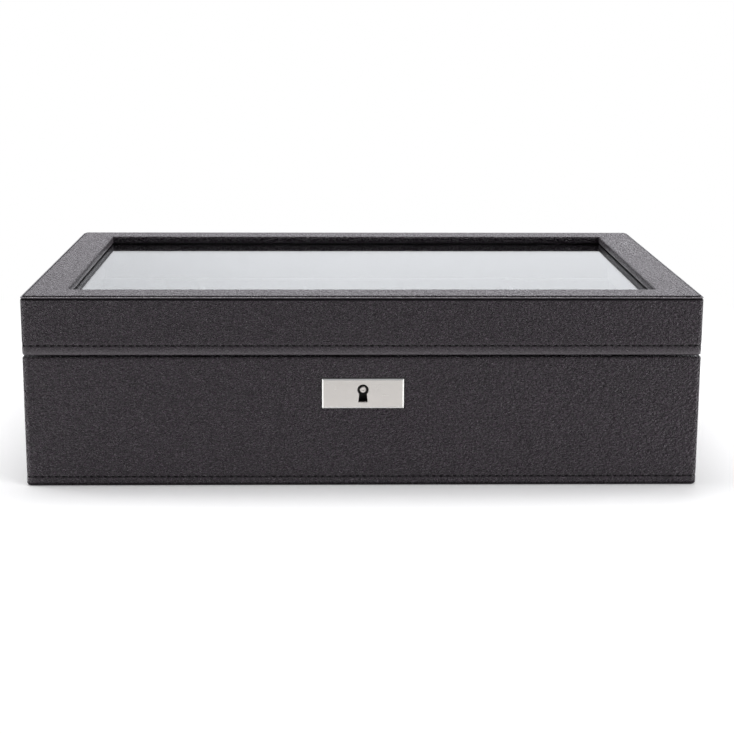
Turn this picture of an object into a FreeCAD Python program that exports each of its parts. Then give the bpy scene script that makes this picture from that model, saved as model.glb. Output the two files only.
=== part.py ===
"""Watch box: a leather covered case with a glazed lid, two butt hinges, a cut-in lock and ten cushions.

Millimetres, +Z up. The origin is on the table under the middle of the box, and the front faces -Y.
The base stands on its felt, the lid is shut and the lock is open.
"""
import FreeCAD
import Part
import Sketcher
import os

os.makedirs("parts", exist_ok=True)
doc = FreeCAD.newDocument("watch_box")

COLUMNS = 5
ROWS = ("front", "back")
SIDES = (("left", "-1"), ("right", "1"))

# Driving sizes: name, value, what it measures
SIZES = [
    ("box_width", 336, "outside width over the leather"),
    ("box_depth", 228, "outside depth over the leather"),
    ("base_height", 65.8, "table to the rim of the base"),
    ("lid_gap", 0.8, "gap between the rim and the lid"),
    ("lid_height", 29.6, "outside height of the lid"),
    ("corner_radius", 3, "rounding of the upright corners"),
    ("base_edge_radius", 2.2, "rounding of the lower edge of the base"),
    ("rim_radius", 1.6, "rounding of the rim of the base"),
    ("lid_edge_radius", 0.8, "rounding of the lower edge of the lid"),
    ("lid_top_radius", 1, "rounding of the upper edge of the lid"),
    ("leather", 1, "thickness of the leather"),
    ("wall", 9.5, "thickness of the board walls"),
    ("floor_board", 5, "thickness of the floor board"),
    ("felt_proud", 0.4, "felt below the leather underneath"),
    ("turn_under", 14, "leather turned under the base"),
    ("felt_clearance", 0.5, "felt to the turned-under leather"),
    ("lining", 1.5, "thickness of the suede lining"),
    ("lining_drop", 0.6, "rim to the top of the lining"),
    ("least_radius", 0.2, "least rounding of a board edge under the leather"),
    ("divider", 3, "thickness of a divider"),
    ("divider_drop", 4, "rim to the top of the dividers"),
    ("lap_clearance", 0.1, "side clearance in the halved joints of the dividers"),
    ("cushion_side_gap", 3, "divider to the side of a cushion"),
    ("cushion_end_gap", 9, "room for a strap at each end of a cushion"),
    ("cushion_drop", 12, "rim to the crown of a cushion"),
    ("cushion_shoulder", 25, "height of the shoulder of a cushion"),
    ("cushion_foot_inset", 6.2, "cushion foot inside its full length"),
    ("cushion_shoulder_inset", 3.3, "cushion shoulder inside its full length"),
    ("cushion_swell", 4.1, "swell of the ends of a cushion"),
    ("cushion_cheek", 7.5, "side face of a cushion to its fullest section"),
    ("cushion_cheek_drop", 1.4, "crown above the fullest section"),
    ("cushion_waist", 1, "ends drawn in at the middle of a cushion"),
    ("cushion_side_inset", 5.5, "ends drawn in at the side face of a cushion"),
    ("cushion_side_drop", 6.4, "crown above the side face"),
    ("frame_width", 20.4, "width of the lid frame round the window"),
    ("glass_recess", 4.5, "top of the frame to the glass"),
    ("glass", 3, "thickness of the glass"),
    ("glass_clearance", 0.5, "edge of the glass to the lid walls"),
    ("retainer", 3, "thickness of the boards that hold the glass"),
    ("retainer_drop", 0.6, "lower edge of the lid to the retainers"),
    ("edge_turn", 1.4, "turned-down edge of the top leather"),
    ("hinge_inset", 58, "side of the box to the middle of a hinge"),
    ("hinge_length", 36, "length of a hinge"),
    ("leaf_width", 9, "width of a hinge leaf let into the rim"),
    ("leaf", 1.2, "thickness of a hinge leaf"),
    ("knuckle_radius", 2.25, "outer radius of a knuckle"),
    ("knuckle_gap", 0.2, "end play between knuckles"),
    ("hinge_standoff", 0.25, "back of the box to the knuckles"),
    ("pin_radius", 1.1, "radius of a hinge pin"),
    ("pin_clearance", 0.05, "running clearance round a hinge pin"),
    ("fit_clearance", 0.1, "side clearance of metal let into the boards"),
    ("lid_open_angle", 100, "angle at which the hinge stops meet"),
    ("stop_play", 0.5, "half the angle left between the stops"),
    ("stop_span", 30, "angle covered by a stop"),
    ("stop_reach", 1.5, "stop bar beyond the knuckle"),
    ("stop_clearance", 0.3, "turning knuckle to the stop bar"),
    ("screw_radius", 0.9, "radius of a screw shank"),
    ("screw_head_radius", 1.8, "radius of a countersunk head"),
    ("screw_length", 7, "length of a screw"),
    ("screw_tip", 1.5, "length of the point of a screw"),
    ("screw_pitch", 22, "distance between the screws of a leaf"),
    ("lock_width", 34, "width of the lock case"),
    ("lock_depth", 6.5, "depth of the lock let into the front wall"),
    ("lock_height", 27, "height of the lock case below the rim"),
    ("lock_sheet", 1, "sheet thickness of the lock case"),
    ("cap_ear", 6, "ear of the lock cap beyond the case"),
    ("cap_ear_height", 9, "height of an ear of the lock cap"),
    ("lock_stud_radius", 0.8, "radius of the stud that guides the bolt"),
    ("lock_stud_offset", 5.5, "middle of the lock to the stud"),
    ("lock_pin_radius", 1.7, "radius of the pin in the keyhole"),
    ("lock_pin_setback", 0.5, "face of the lock plate to the end of the pin"),
    ("key_drop", 16.6, "rim to the middle of the keyhole"),
    ("key_radius", 2.7, "radius of the round of the keyhole"),
    ("key_slot_width", 3.6, "width of the keyhole slot at the round"),
    ("key_slot_foot", 4.6, "width of the keyhole slot at its foot"),
    ("key_slot_length", 6.1, "middle of the keyhole to the foot of its slot"),
    ("key_clearance", 0.3, "keyhole through the board round the keyhole in the plate"),
    ("plate_width", 41.2, "width of the lock plate"),
    ("plate_height", 15.5, "height of the lock plate"),
    ("plate_drop", 10.7, "rim to the top of the lock plate"),
    ("plate_proud", 0.4, "lock plate in front of the leather"),
    ("plate_bevel", 0.6, "bevel of the lock plate"),
    ("bolt", 2.6, "thickness of the bolt"),
    ("bolt_travel", 3, "travel of the bolt"),
    ("bolt_rest_gap", 0.5, "drawn bolt to the prong"),
    ("bolt_arm", 3, "height of the arm that enters the prong"),
    ("bolt_arm_length", 10.2, "length of the arm that enters the prong"),
    ("bolt_spine", 5.5, "width of the spine of the bolt"),
    ("bolt_reach", 9, "middle of the lock to the free end of the bolt"),
    ("bolt_foot", 3.6, "height of the lower arm of the bolt"),
    ("bolt_slot_clearance", 0.1, "bolt slot round the stud"),
    ("talon_width", 5, "width of the notch that the key moves"),
    ("talon_depth", 0.8, "depth of the notch that the key moves"),
    ("spring", 0.4, "thickness of the detent spring"),
    ("spring_width", 2, "width of the detent spring"),
    ("spring_gap", 0.3, "detent spring above the bolt"),
    ("catch_width", 30, "width of the catch plate"),
    ("catch_depth", 6, "depth of the catch plate"),
    ("catch_plate", 1.2, "thickness of the catch plate"),
    ("catch_pitch", 22, "distance between the catch screws"),
    ("prong_width", 6.5, "width of the prong"),
    ("prong", 1.8, "thickness of the prong"),
    ("prong_length", 10, "prong below the lid"),
    ("prong_side_gap", 0.75, "prong to the sides of its slot"),
    ("prong_tip_gap", 1.2, "tip of the prong to the lower arm of the bolt"),
    ("notch_drop", 6, "rim to the middle of the notch in the prong"),
    ("notch_depth", 3.2, "depth of the notch in the prong"),
    ("notch_clearance", 0.5, "notch above and below the bolt arm"),
    ("bumper_radius", 3, "radius of a lid bumper"),
    ("bumper_inset", 30, "side of the box to a lid bumper"),
]

# Places that follow from the sizes: name, formula, what it marks
PLACES = [
    ("outer_x", "dims.box_width / 2", "outside of the leather"),
    ("outer_y", "dims.box_depth / 2", "outside of the leather"),
    ("wood_x", "outer_x - dims.leather", "outside of the boards"),
    ("wood_y", "outer_y - dims.leather", "outside of the boards"),
    ("inner_x", "wood_x - dims.wall", "inside of the boards"),
    ("inner_y", "wood_y - dims.wall", "inside of the boards"),
    ("lined_x", "inner_x - dims.lining", "inside of the lining"),
    ("lined_y", "inner_y - dims.lining", "inside of the lining"),
    ("core_corner", "max(dims.corner_radius - dims.leather; dims.least_radius)", "upright board edges"),
    ("core_foot", "max(dims.base_edge_radius - dims.leather; dims.least_radius)", "lower board edges"),
    ("core_rim", "max(dims.rim_radius - dims.leather; dims.least_radius)", "board edges at the rim"),
    ("wood_bottom", "dims.felt_proud + dims.leather", "underside of the boards"),
    ("floor_top", "wood_bottom + dims.floor_board", "top of the floor board"),
    ("bed", "floor_top + dims.lining", "top of the lining on the floor"),
    ("rim", "dims.base_height", "rim of the base"),
    ("wood_rim", "rim - dims.leather", "top of the base boards"),
    ("lining_top", "rim - dims.lining_drop", "top of the wall lining"),
    ("divider_top", "rim - dims.divider_drop", "top of the dividers"),
    ("divider_mid", "(bed + divider_top) / 2", "meeting height of the halved joints"),
    ("felt_x", "outer_x - dims.turn_under", "edge of the turned-under leather"),
    ("felt_y", "outer_y - dims.turn_under", "edge of the turned-under leather"),
    ("lid_bottom", "rim + dims.lid_gap", "lower edge of the lid"),
    ("lid_wood_bottom", "lid_bottom + dims.leather", "underside of the lid boards"),
    ("lid_top", "lid_bottom + dims.lid_height", "top of the lid"),
    ("lid_wood_top", "lid_top - dims.leather", "top of the lid frame board"),
    ("seam", "lid_top - dims.edge_turn", "seam below the turned edge"),
    ("glass_top", "lid_top - dims.glass_recess", "top of the glass"),
    ("glass_bottom", "glass_top - dims.glass", "underside of the glass"),
    ("opening_x", "outer_x - dims.frame_width", "edge of the window"),
    ("opening_y", "outer_y - dims.frame_width", "edge of the window"),
    ("window_x", "opening_x + dims.leather", "window in the frame board"),
    ("window_y", "opening_y + dims.leather", "window in the frame board"),
    ("cell_x", f"(2 * lined_x - {COLUMNS - 1} * dims.divider) / {COLUMNS}", "width of a compartment"),
    ("cell_y", "lined_y - dims.divider / 2", "depth of a compartment"),
    ("pitch_x", "cell_x + dims.divider", "distance between compartments"),
    ("cushion_x", "cell_x / 2 - dims.cushion_side_gap", "half the width of a cushion"),
    ("cushion_y", "cell_y / 2 - dims.cushion_end_gap", "half the length of a cushion"),
    ("cushion_z", "rim - dims.cushion_drop - bed", "height of a cushion"),
    ("hinge_x", "outer_x - dims.hinge_inset", "middle of a hinge"),
    ("axis_y", "outer_y + dims.hinge_standoff + dims.knuckle_radius", "hinge axis"),
    ("axis_z", "rim + dims.lid_gap / 2", "hinge axis"),
    ("leaf_front", "outer_y - dims.leaf_width", "front edge of a leaf"),
    ("knuckle", "(dims.hinge_length - 2 * dims.knuckle_gap) / 3", "length of a knuckle"),
    ("stop_from", "dims.lid_open_angle / 2 + dims.stop_play", "meeting face of a stop"),
    ("stop_to", "stop_from + dims.stop_span", "far face of a stop"),
    ("stop_root", "(dims.knuckle_radius + dims.pin_radius) / 2", "root of a stop in its knuckle"),
    ("stop_inner", "dims.knuckle_radius + dims.stop_clearance", "inner edge of the stop bar"),
    ("stop_outer", "dims.knuckle_radius + dims.stop_reach", "outer edge of the stops"),
    ("leaf_screw_y", "leaf_front + dims.leaf_width / 2", "screws of a leaf"),
    ("screw_head", "dims.screw_head_radius - dims.screw_radius", "depth of a countersink"),
    ("lock_mid", "-inner_y - dims.lock_depth / 2", "middle plane of the lock"),
    ("lock_front", "-inner_y - dims.lock_depth", "front of the lock case"),
    ("lock_back", "-inner_y - dims.lock_sheet", "front of the lock cap"),
    ("lock_foot", "rim - dims.lock_height", "underside of the lock case"),
    ("lock_x", "dims.lock_width / 2", "side of the lock case"),
    ("ear_x", "lock_x + dims.cap_ear", "end of an ear"),
    ("ear_z", "rim - dims.lock_height / 2", "middle height of the ears"),
    ("key_z", "rim - dims.key_drop", "middle of the keyhole"),
    ("key_foot", "key_z - dims.key_slot_length", "foot of the keyhole slot"),
    ("plate_front", "-outer_y - dims.plate_proud", "face of the lock plate"),
    ("plate_top", "rim - dims.plate_drop", "top of the lock plate"),
    ("plate_foot", "plate_top - dims.plate_height", "foot of the lock plate"),
    ("bolt_tip", "-dims.prong_width / 2 - dims.bolt_rest_gap", "end of the drawn bolt"),
    ("bolt_back", "bolt_tip - dims.bolt_arm_length", "back edge of the bolt"),
    ("spine_front", "bolt_back + dims.bolt_spine", "front edge of the spine"),
    ("arm_z", "rim - dims.notch_drop", "middle of the bolt arm"),
    ("arm_top", "arm_z + dims.bolt_arm / 2", "top of the bolt arm"),
    ("arm_foot", "arm_z - dims.bolt_arm / 2", "underside of the bolt arm"),
    ("prong_tip", "lid_bottom - dims.prong_length", "tip of the prong"),
    ("foot_top", "prong_tip - dims.prong_tip_gap", "top of the lower arm"),
    ("foot_low", "foot_top - dims.bolt_foot", "underside of the lower arm"),
    ("foot_mid", "foot_top - dims.bolt_foot / 2", "guide slot of the bolt"),
    ("bolt_slot", "dims.lock_stud_radius + dims.bolt_slot_clearance", "half the height of the guide slot"),
    ("notch_half", "dims.bolt_arm / 2 + dims.notch_clearance", "half the height of the notch"),
    ("spring_low", "arm_top + dims.spring_gap", "lowest line of the detent spring"),
    ("spring_seat", "rim - dims.lock_sheet", "seat of the detent spring"),
    ("spring_end", "dims.lock_sheet - lock_x", "fixed end of the detent spring"),
]


def sheet(name, rows):
    """A table of meaning, value and name."""
    table = doc.addObject("Spreadsheet::Sheet", name)
    for row, (alias, value, meaning) in enumerate(rows, 1):
        table.set(f"A{row}", meaning)
        table.set(f"B{row}", str(value))
        table.setAlias(f"B{row}", alias)
    return table


sheet("dims", SIZES)
sheet("at", [(alias, f"={formula}", meaning) for alias, formula, meaning in PLACES])
doc.recompute()

PLANES = {"xy": "XY_Plane", "xz": "XZ_Plane", "yz": "YZ_Plane"}
ALONG = {
    "x": FreeCAD.Rotation(FreeCAD.Vector(0, 1, 0), 90),
    "y": FreeCAD.Rotation(FreeCAD.Vector(1, 0, 0), -90),
    "-y": FreeCAD.Rotation(FreeCAD.Vector(1, 0, 0), 90),
    "z": FreeCAD.Rotation(),
    "-z": FreeCAD.Rotation(FreeCAD.Vector(1, 0, 0), 180),
}
EDGE_TOLERANCE = 1e-4


def both(half):
    """The span from -half to half."""
    return f"-({half})", half


def about(middle, half):
    """The span of half on each side of middle."""
    return f"({middle}) - ({half})", f"({middle}) + ({half})"


def place(item, spot):
    """Tie the position of an object to three expressions."""
    for axis, value in zip("xyz", spot):
        item.setExpression(f"Placement.Base.{axis}", value)


def block(name, x, y, z):
    """A box between two expressions on each axis."""
    solid = doc.addObject("Part::Box", name)
    for size, (low, high) in zip(("Length", "Width", "Height"), (x, y, z)):
        solid.setExpression(size, f"({high}) - ({low})")
    place(solid, (x[0], y[0], z[0]))
    return solid


def rod(name, along, radius, start, length):
    """A cylinder from start in the named direction."""
    solid = doc.addObject("Part::Cylinder", name)
    solid.Placement = FreeCAD.Placement(FreeCAD.Vector(), ALONG[along])
    solid.setExpression("Radius", radius)
    solid.setExpression("Height", length)
    place(solid, start)
    return solid


def joined(name, *solids):
    """One solid from several."""
    union = doc.addObject("Part::MultiFuse", name)
    union.Shapes = list(solids)
    return union


def shared(name, first, second):
    """What two solids have in common."""
    common = doc.addObject("Part::MultiCommon", name)
    common.Shapes = [first, second]
    return common


def cut(name, base, *tools):
    """A solid less its tools."""
    result = doc.addObject("Part::Cut", name)
    result.Base = base
    result.Tool = tools[0] if len(tools) == 1 else joined(f"{name}_cutters", *tools)
    return result


def group(name, solids):
    """Like pieces kept side by side under one name."""
    pieces = doc.addObject("Part::Compound", name)
    pieces.Links = list(solids)
    return pieces


def new_sketch(body, name, plane, offset):
    """A sketch on a plane of the body, moved along its normal."""
    sketch = body.newObject("Sketcher::SketchObject", name)
    support = [item for item in body.Origin.OriginFeatures if item.Role == PLANES[plane]][0]
    sketch.AttachmentSupport = (support, [""])
    sketch.MapMode = "FlatFace"
    sketch.setExpression("AttachmentOffset.Base.z", offset)
    return sketch


def pin_point(sketch, edge, tag, spot):
    """Tie the start of an edge to two expressions."""
    for kind, letter, value in zip(("DistanceX", "DistanceY"), "xy", spot):
        number = sketch.addConstraint(Sketcher.Constraint(kind, -1, 1, edge, 1, sketch.evalExpression(value)))
        sketch.renameConstraint(number, f"{tag}_{letter}")
        sketch.setExpression(f"Constraints.{tag}_{letter}", value)


def chain(sketch, edges):
    """Join edges end to start in a closed ring."""
    for edge, following in zip(edges, edges[1:] + edges[:1]):
        sketch.addConstraint(Sketcher.Constraint("Coincident", edge, 2, following, 1))


def flat_point(sketch, spot):
    """The point that two expressions give on a sketch."""
    return FreeCAD.Vector(sketch.evalExpression(spot[0]), sketch.evalExpression(spot[1]), 0)


def polygon(sketch, points):
    """A closed outline whose corners are tied to expressions."""
    spots = [flat_point(sketch, spot) for spot in points]
    edges = []
    for start, end in zip(spots, spots[1:] + spots[:1]):
        edges.append(sketch.addGeometry(Part.LineSegment(start, end)))
    chain(sketch, edges)
    for edge, spot in zip(edges, points):
        pin_point(sketch, edge, f"corner{edge}", spot)


def prism(name, plane, points, low, high):
    """A body whose outline on the plane runs from low to high across it."""
    body = doc.addObject("PartDesign::Body", name)
    offset = f"-({high})" if plane == "xz" else low
    outline = new_sketch(body, f"{name}_outline", plane, offset)
    polygon(outline, points)
    pad = body.newObject("PartDesign::Pad", f"{name}_pad")
    pad.Profile = outline
    pad.setExpression("Length", f"({high}) - ({low})")
    doc.recompute()
    return body


def dress(body, kind, name, size, value, chosen):
    """Round or bevel the chosen edges of a body."""
    base = body.Tip
    edges = [f"Edge{number}" for number, edge in enumerate(base.Shape.Edges, 1) if chosen(edge.BoundBox)]
    feature = body.newObject(kind, name)
    feature.Base = (base, edges)
    feature.setExpression(size, value)
    doc.recompute()


def rectangle(x, y):
    """The corners of a rectangle."""
    return [(x[0], y[0]), (x[1], y[0]), (x[1], y[1]), (x[0], y[1])]


def rounded_block(name, x, y, z, upright, foot, top):
    """A block with rounded upright edges, and a rounded foot and top where a radius is given."""
    body = prism(name, "xy", rectangle(both(x), both(y)), *z)
    low = body.Shape.BoundBox.ZMin + EDGE_TOLERANCE
    high = body.Shape.BoundBox.ZMax - EDGE_TOLERANCE
    fillet = "PartDesign::Fillet"
    dress(body, fillet, f"{name}_upright", "Radius", upright, lambda box: box.ZMin < low and box.ZMax > high)
    if foot:
        dress(body, fillet, f"{name}_foot", "Radius", foot, lambda box: box.ZMax < low)
    if top:
        dress(body, fillet, f"{name}_top", "Radius", top, lambda box: box.ZMin > high)
    return body


def screw(name, along, spot):
    """A countersunk screw with its head at spot and its point in the named direction."""
    body = doc.addObject("PartDesign::Body", name)
    outline = new_sketch(body, f"{name}_outline", "xz", "0")
    polygon(outline, [
        ("0", "0"),
        ("dims.screw_head_radius", "0"),
        ("dims.screw_radius", "at.screw_head"),
        ("dims.screw_radius", "dims.screw_length - dims.screw_tip"),
        ("0", "dims.screw_length"),
    ])
    turned = body.newObject("PartDesign::Revolution", f"{name}_turned")
    turned.Profile = outline
    turned.ReferenceAxis = (outline, ["V_Axis"])
    turned.Angle = 360
    body.Placement = FreeCAD.Placement(FreeCAD.Vector(), ALONG[along])
    place(body, spot)
    return body


def board(name, core, x, y, z):
    """The part of a rounded core between two expressions on each axis."""
    return shared(name, core, block(f"{name}_slab", x, y, z))


def ring_boards(name, x, y, thickness, z):
    """Four flat boards round the inside of the walls: front and back run through."""
    inner_x = f"({x}) - ({thickness})"
    inner_y = f"({y}) - ({thickness})"
    return [
        block(f"{name}_front", both(x), (f"-({y})", f"-({inner_y})"), z),
        block(f"{name}_back", both(x), (inner_y, y), z),
        block(f"{name}_left", (f"-({x})", f"-({inner_x})"), both(inner_y), z),
        block(f"{name}_right", (inner_x, x), both(inner_y), z),
    ]


subparts = []
ACROSS = both("at.wood_x")
BETWEEN = both("at.inner_y")
FRONT = ("-at.wood_y", "-at.inner_y")
BACK = ("at.inner_y", "at.wood_y")
LEFT = ("-at.wood_x", "-at.inner_x")
RIGHT = ("at.inner_x", "at.wood_x")

# Screws of the hinges, the lock and the catch
base_screws = []
lid_screws = []
for side, sign in SIDES:
    for end, step in (("a", "-1"), ("b", "1")):
        spot_x = f"{sign} * at.hinge_x + {step} * dims.screw_pitch / 2"
        base_screws.append(screw(f"base_screw_{side}_{end}", "-z", (spot_x, "at.leaf_screw_y", "at.rim")))
        lid_screws.append(screw(f"lid_screw_{side}_{end}", "z", (spot_x, "at.leaf_screw_y", "at.lid_bottom")))
hinge_base_screws = group("hinge_base_screws", base_screws)
hinge_lid_screws = group("hinge_lid_screws", lid_screws)
lock_screws = group("lock_screws", [
    screw(f"lock_screw_{side}", "-y", (f"{sign} * (at.lock_x + dims.cap_ear / 2)", "-at.inner_y", "at.ear_z"))
    for side, sign in SIDES
])
catch_screws = group("catch_screws", [
    screw(f"catch_screw_{side}", "z", (f"{sign} * dims.catch_pitch / 2", "at.lock_mid", "at.lid_bottom"))
    for side, sign in SIDES
])
subparts += [hinge_base_screws, hinge_lid_screws, lock_screws, catch_screws]

# Hinges: the base leaf has the outer knuckles and the stop bar, the lid leaf the middle knuckle and a fin
AXIS = ("at.axis_y", "at.axis_z")
base_mortises = []
lid_mortises = []


def fan(inner, outer, start, end):
    """A four-sided outline between two radii and two angles round the hinge axis."""
    corners = ((inner, start), (outer, start), (outer, end), (inner, end))
    return [
        (f"at.axis_y + ({radius}) * cos({angle})", f"at.axis_z + ({radius}) * sin({angle})")
        for radius, angle in corners
    ]


for side, sign in SIDES:
    middle = f"{sign} * at.hinge_x"
    length = about(middle, "dims.hinge_length / 2")
    base_z = ("at.rim - dims.leaf", "at.rim")
    lid_z = ("at.lid_bottom", "at.lid_bottom + dims.leaf")
    flap_y = ("at.leaf_front", "at.outer_y")
    neck_y = ("at.outer_y", "at.axis_y")
    pin = rod(f"hinge_pin_{side}", "x", "dims.pin_radius", (length[0], *AXIS), "dims.hinge_length")

    pieces = [block(f"base_flap_{side}", length, flap_y, base_z)]
    for end, start in (("a", length[0]), ("b", f"{length[1]} - at.knuckle")):
        span = (start, f"{start} + at.knuckle")
        pieces.append(block(f"base_neck_{side}_{end}", span, neck_y, base_z))
        pieces.append(rod(
            f"base_knuckle_{side}_{end}", "x", "dims.knuckle_radius", (start, *AXIS), "at.knuckle"))
        pieces.append(prism(
            f"base_stop_root_{side}_{end}", "yz",
            fan("at.stop_root", "at.stop_outer", "-at.stop_from", "-at.stop_to"), *span))
    pieces.append(prism(
        f"base_stop_bar_{side}", "yz",
        fan("at.stop_inner", "at.stop_outer", "-at.stop_from", "-at.stop_to"), *length))
    leaf = joined(f"base_leaf_blank_{side}", *pieces)
    subparts.append(cut(f"hinge_base_leaf_{side}", leaf, pin, hinge_base_screws))

    span = about(middle, "at.knuckle / 2")
    leaf = joined(
        f"lid_leaf_blank_{side}",
        block(f"lid_flap_{side}", length, flap_y, lid_z),
        block(f"lid_neck_{side}", span, neck_y, lid_z),
        rod(f"lid_knuckle_{side}", "x", "dims.knuckle_radius", (span[0], *AXIS), "at.knuckle"),
        prism(
            f"lid_stop_{side}", "yz",
            fan("at.stop_root", "at.stop_outer", "at.stop_from", "at.stop_to"), *span),
    )
    bore = rod(
        f"lid_bore_{side}", "x", "dims.pin_radius + dims.pin_clearance",
        (length[0], *AXIS), "dims.hinge_length")
    subparts.append(cut(f"hinge_lid_leaf_{side}", leaf, bore, hinge_lid_screws))
    subparts.append(pin)

    room_x = about(middle, "dims.hinge_length / 2 + dims.fit_clearance")
    room_y = ("at.leaf_front - dims.fit_clearance", "at.axis_y")
    base_mortises.append(block(f"base_mortise_{side}", room_x, room_y, (base_z[0], "at.axis_z")))
    lid_mortises.append(block(f"lid_mortise_{side}", room_x, room_y, ("at.axis_z", lid_z[1])))

# Lock: a sheet case let into the front wall from inside, closed by a cap, behind a plate with the keyhole
lock_span = both("at.lock_x")
cavity_x = both("at.lock_x - dims.lock_sheet")
cap_y = ("at.lock_back", "-at.inner_y")
prong_slot = block(
    "prong_slot",
    both("dims.prong_width / 2 + dims.prong_side_gap"),
    about("at.lock_mid", "dims.prong / 2 + dims.prong_side_gap"),
    ("at.rim - dims.lock_sheet", "at.rim"),
)


def keyhole(name, extra, low, high):
    """A round with a slot that widens to its foot, from low to high in depth."""
    slot = prism(f"{name}_slot", "xz", [
        (f"-dims.key_slot_foot / 2 - ({extra})", f"at.key_foot - ({extra})"),
        (f"dims.key_slot_foot / 2 + ({extra})", f"at.key_foot - ({extra})"),
        (f"dims.key_slot_width / 2 + ({extra})", "at.key_z"),
        (f"-dims.key_slot_width / 2 - ({extra})", "at.key_z"),
    ], low, high)
    ring = rod(
        f"{name}_round", "y", f"dims.key_radius + ({extra})", ("0", low, "at.key_z"), f"({high}) - ({low})")
    return joined(name, ring, slot)


plate_keyhole = keyhole("plate_keyhole", "0", "at.plate_front", "-at.wood_y")
board_keyhole = keyhole(
    "board_keyhole", "dims.key_clearance", "-at.wood_y", "at.lock_front + dims.lock_sheet")
case_blank = joined(
    "lock_case_blank",
    cut(
        "lock_shell",
        block("lock_outside", lock_span, ("at.lock_front", "at.lock_back"), ("at.lock_foot", "at.rim")),
        block(
            "lock_cavity", cavity_x, ("at.lock_front + dims.lock_sheet", "at.lock_back"),
            ("at.lock_foot + dims.lock_sheet", "at.rim - dims.lock_sheet")),
    ),
    block("lock_selvedge", lock_span, cap_y, ("at.rim - dims.lock_sheet", "at.rim")),
    rod(
        "lock_stud", "y", "dims.lock_stud_radius",
        ("dims.lock_stud_offset", "at.lock_front", "at.foot_mid"), "at.lock_back - at.lock_front"),
)
lock_case = cut("lock_case", case_blank, prong_slot, board_keyhole)
cap_blank = joined(
    "lock_cap_blank",
    block("cap_plate", lock_span, cap_y, ("at.lock_foot", "at.rim - dims.lock_sheet")),
    block("cap_ears", both("at.ear_x"), cap_y, about("at.ear_z", "dims.cap_ear_height / 2")),
)
lock_cap = cut("lock_cap", cap_blank, lock_screws)
lock_pin = rod(
    "lock_pin", "y", "dims.lock_pin_radius", ("0", "at.plate_front + dims.lock_pin_setback", "at.key_z"),
    "at.lock_back - at.plate_front - dims.lock_pin_setback")
plate_body = prism(
    "lock_plate_blank", "xz",
    rectangle(both("dims.plate_width / 2"), ("at.plate_foot", "at.plate_top")),
    "at.plate_front", "-at.wood_y")
plate_face = plate_body.Shape.BoundBox.YMin + EDGE_TOLERANCE
dress(plate_body, "PartDesign::Chamfer", "lock_plate_bevel", "Size", "dims.plate_bevel",
      lambda box: box.YMax < plate_face)
lock_plate = cut("lock_plate", plate_body, plate_keyhole)

spring_bends = [
    ("at.spring_end", "at.spring_seat - dims.spring"),
    ("at.bolt_back + dims.bolt_spine / 3", "at.spring_seat - dims.spring"),
    ("at.spine_front + dims.bolt_spine / 6", "at.spring_low"),
    ("at.bolt_tip - dims.bolt_rest_gap", "at.spring_low + dims.spring_gap"),
]
spring_back = [(x, f"{z} + dims.spring") for x, z in reversed(spring_bends)]
lock_spring = prism(
    "lock_spring", "xz", spring_bends + spring_back, *about("at.lock_mid", "dims.spring_width / 2"))

bolt_blank = prism("lock_bolt_blank", "xz", [
    ("at.bolt_back", "at.foot_low"),
    ("-dims.bolt_travel / 2 - dims.talon_width / 2", "at.foot_low"),
    ("-dims.bolt_travel / 2 - dims.talon_width / 2", "at.foot_low + dims.talon_depth"),
    ("-dims.bolt_travel / 2 + dims.talon_width / 2", "at.foot_low + dims.talon_depth"),
    ("-dims.bolt_travel / 2 + dims.talon_width / 2", "at.foot_low"),
    ("dims.bolt_reach", "at.foot_low"),
    ("dims.bolt_reach", "at.foot_top"),
    ("at.spine_front", "at.foot_top"),
    ("at.spine_front", "at.arm_foot"),
    ("at.bolt_tip", "at.arm_foot"),
    ("at.bolt_tip", "at.arm_top"),
    ("at.bolt_back", "at.arm_top"),
], *about("at.lock_mid", "dims.bolt / 2"))
bolt_slot = block(
    "lock_bolt_slot",
    ("dims.lock_stud_offset - dims.bolt_travel - at.bolt_slot", "dims.lock_stud_offset + at.bolt_slot"),
    about("at.lock_mid", "dims.bolt"),
    about("at.foot_mid", "at.bolt_slot"),
)
lock_bolt = cut("lock_bolt", bolt_blank, bolt_slot)
subparts += [lock_plate, lock_case, lock_cap, lock_pin, lock_spring, lock_bolt]

lock_mortises = [
    block(
        "lock_mortise", both("at.lock_x + dims.fit_clearance"),
        ("at.lock_front - dims.fit_clearance", "-at.inner_y"),
        ("at.lock_foot - dims.fit_clearance", "at.rim")),
    block(
        "ear_mortise", both("at.ear_x + dims.fit_clearance"), cap_y,
        about("at.ear_z", "dims.cap_ear_height / 2 + dims.fit_clearance")),
]
plate_mortise = block(
    "plate_mortise", both("dims.plate_width / 2 + dims.fit_clearance"),
    ("-at.outer_y - dims.leather", "-at.wood_y"),
    ("at.plate_foot - dims.fit_clearance", "at.plate_top + dims.fit_clearance"))

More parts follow.
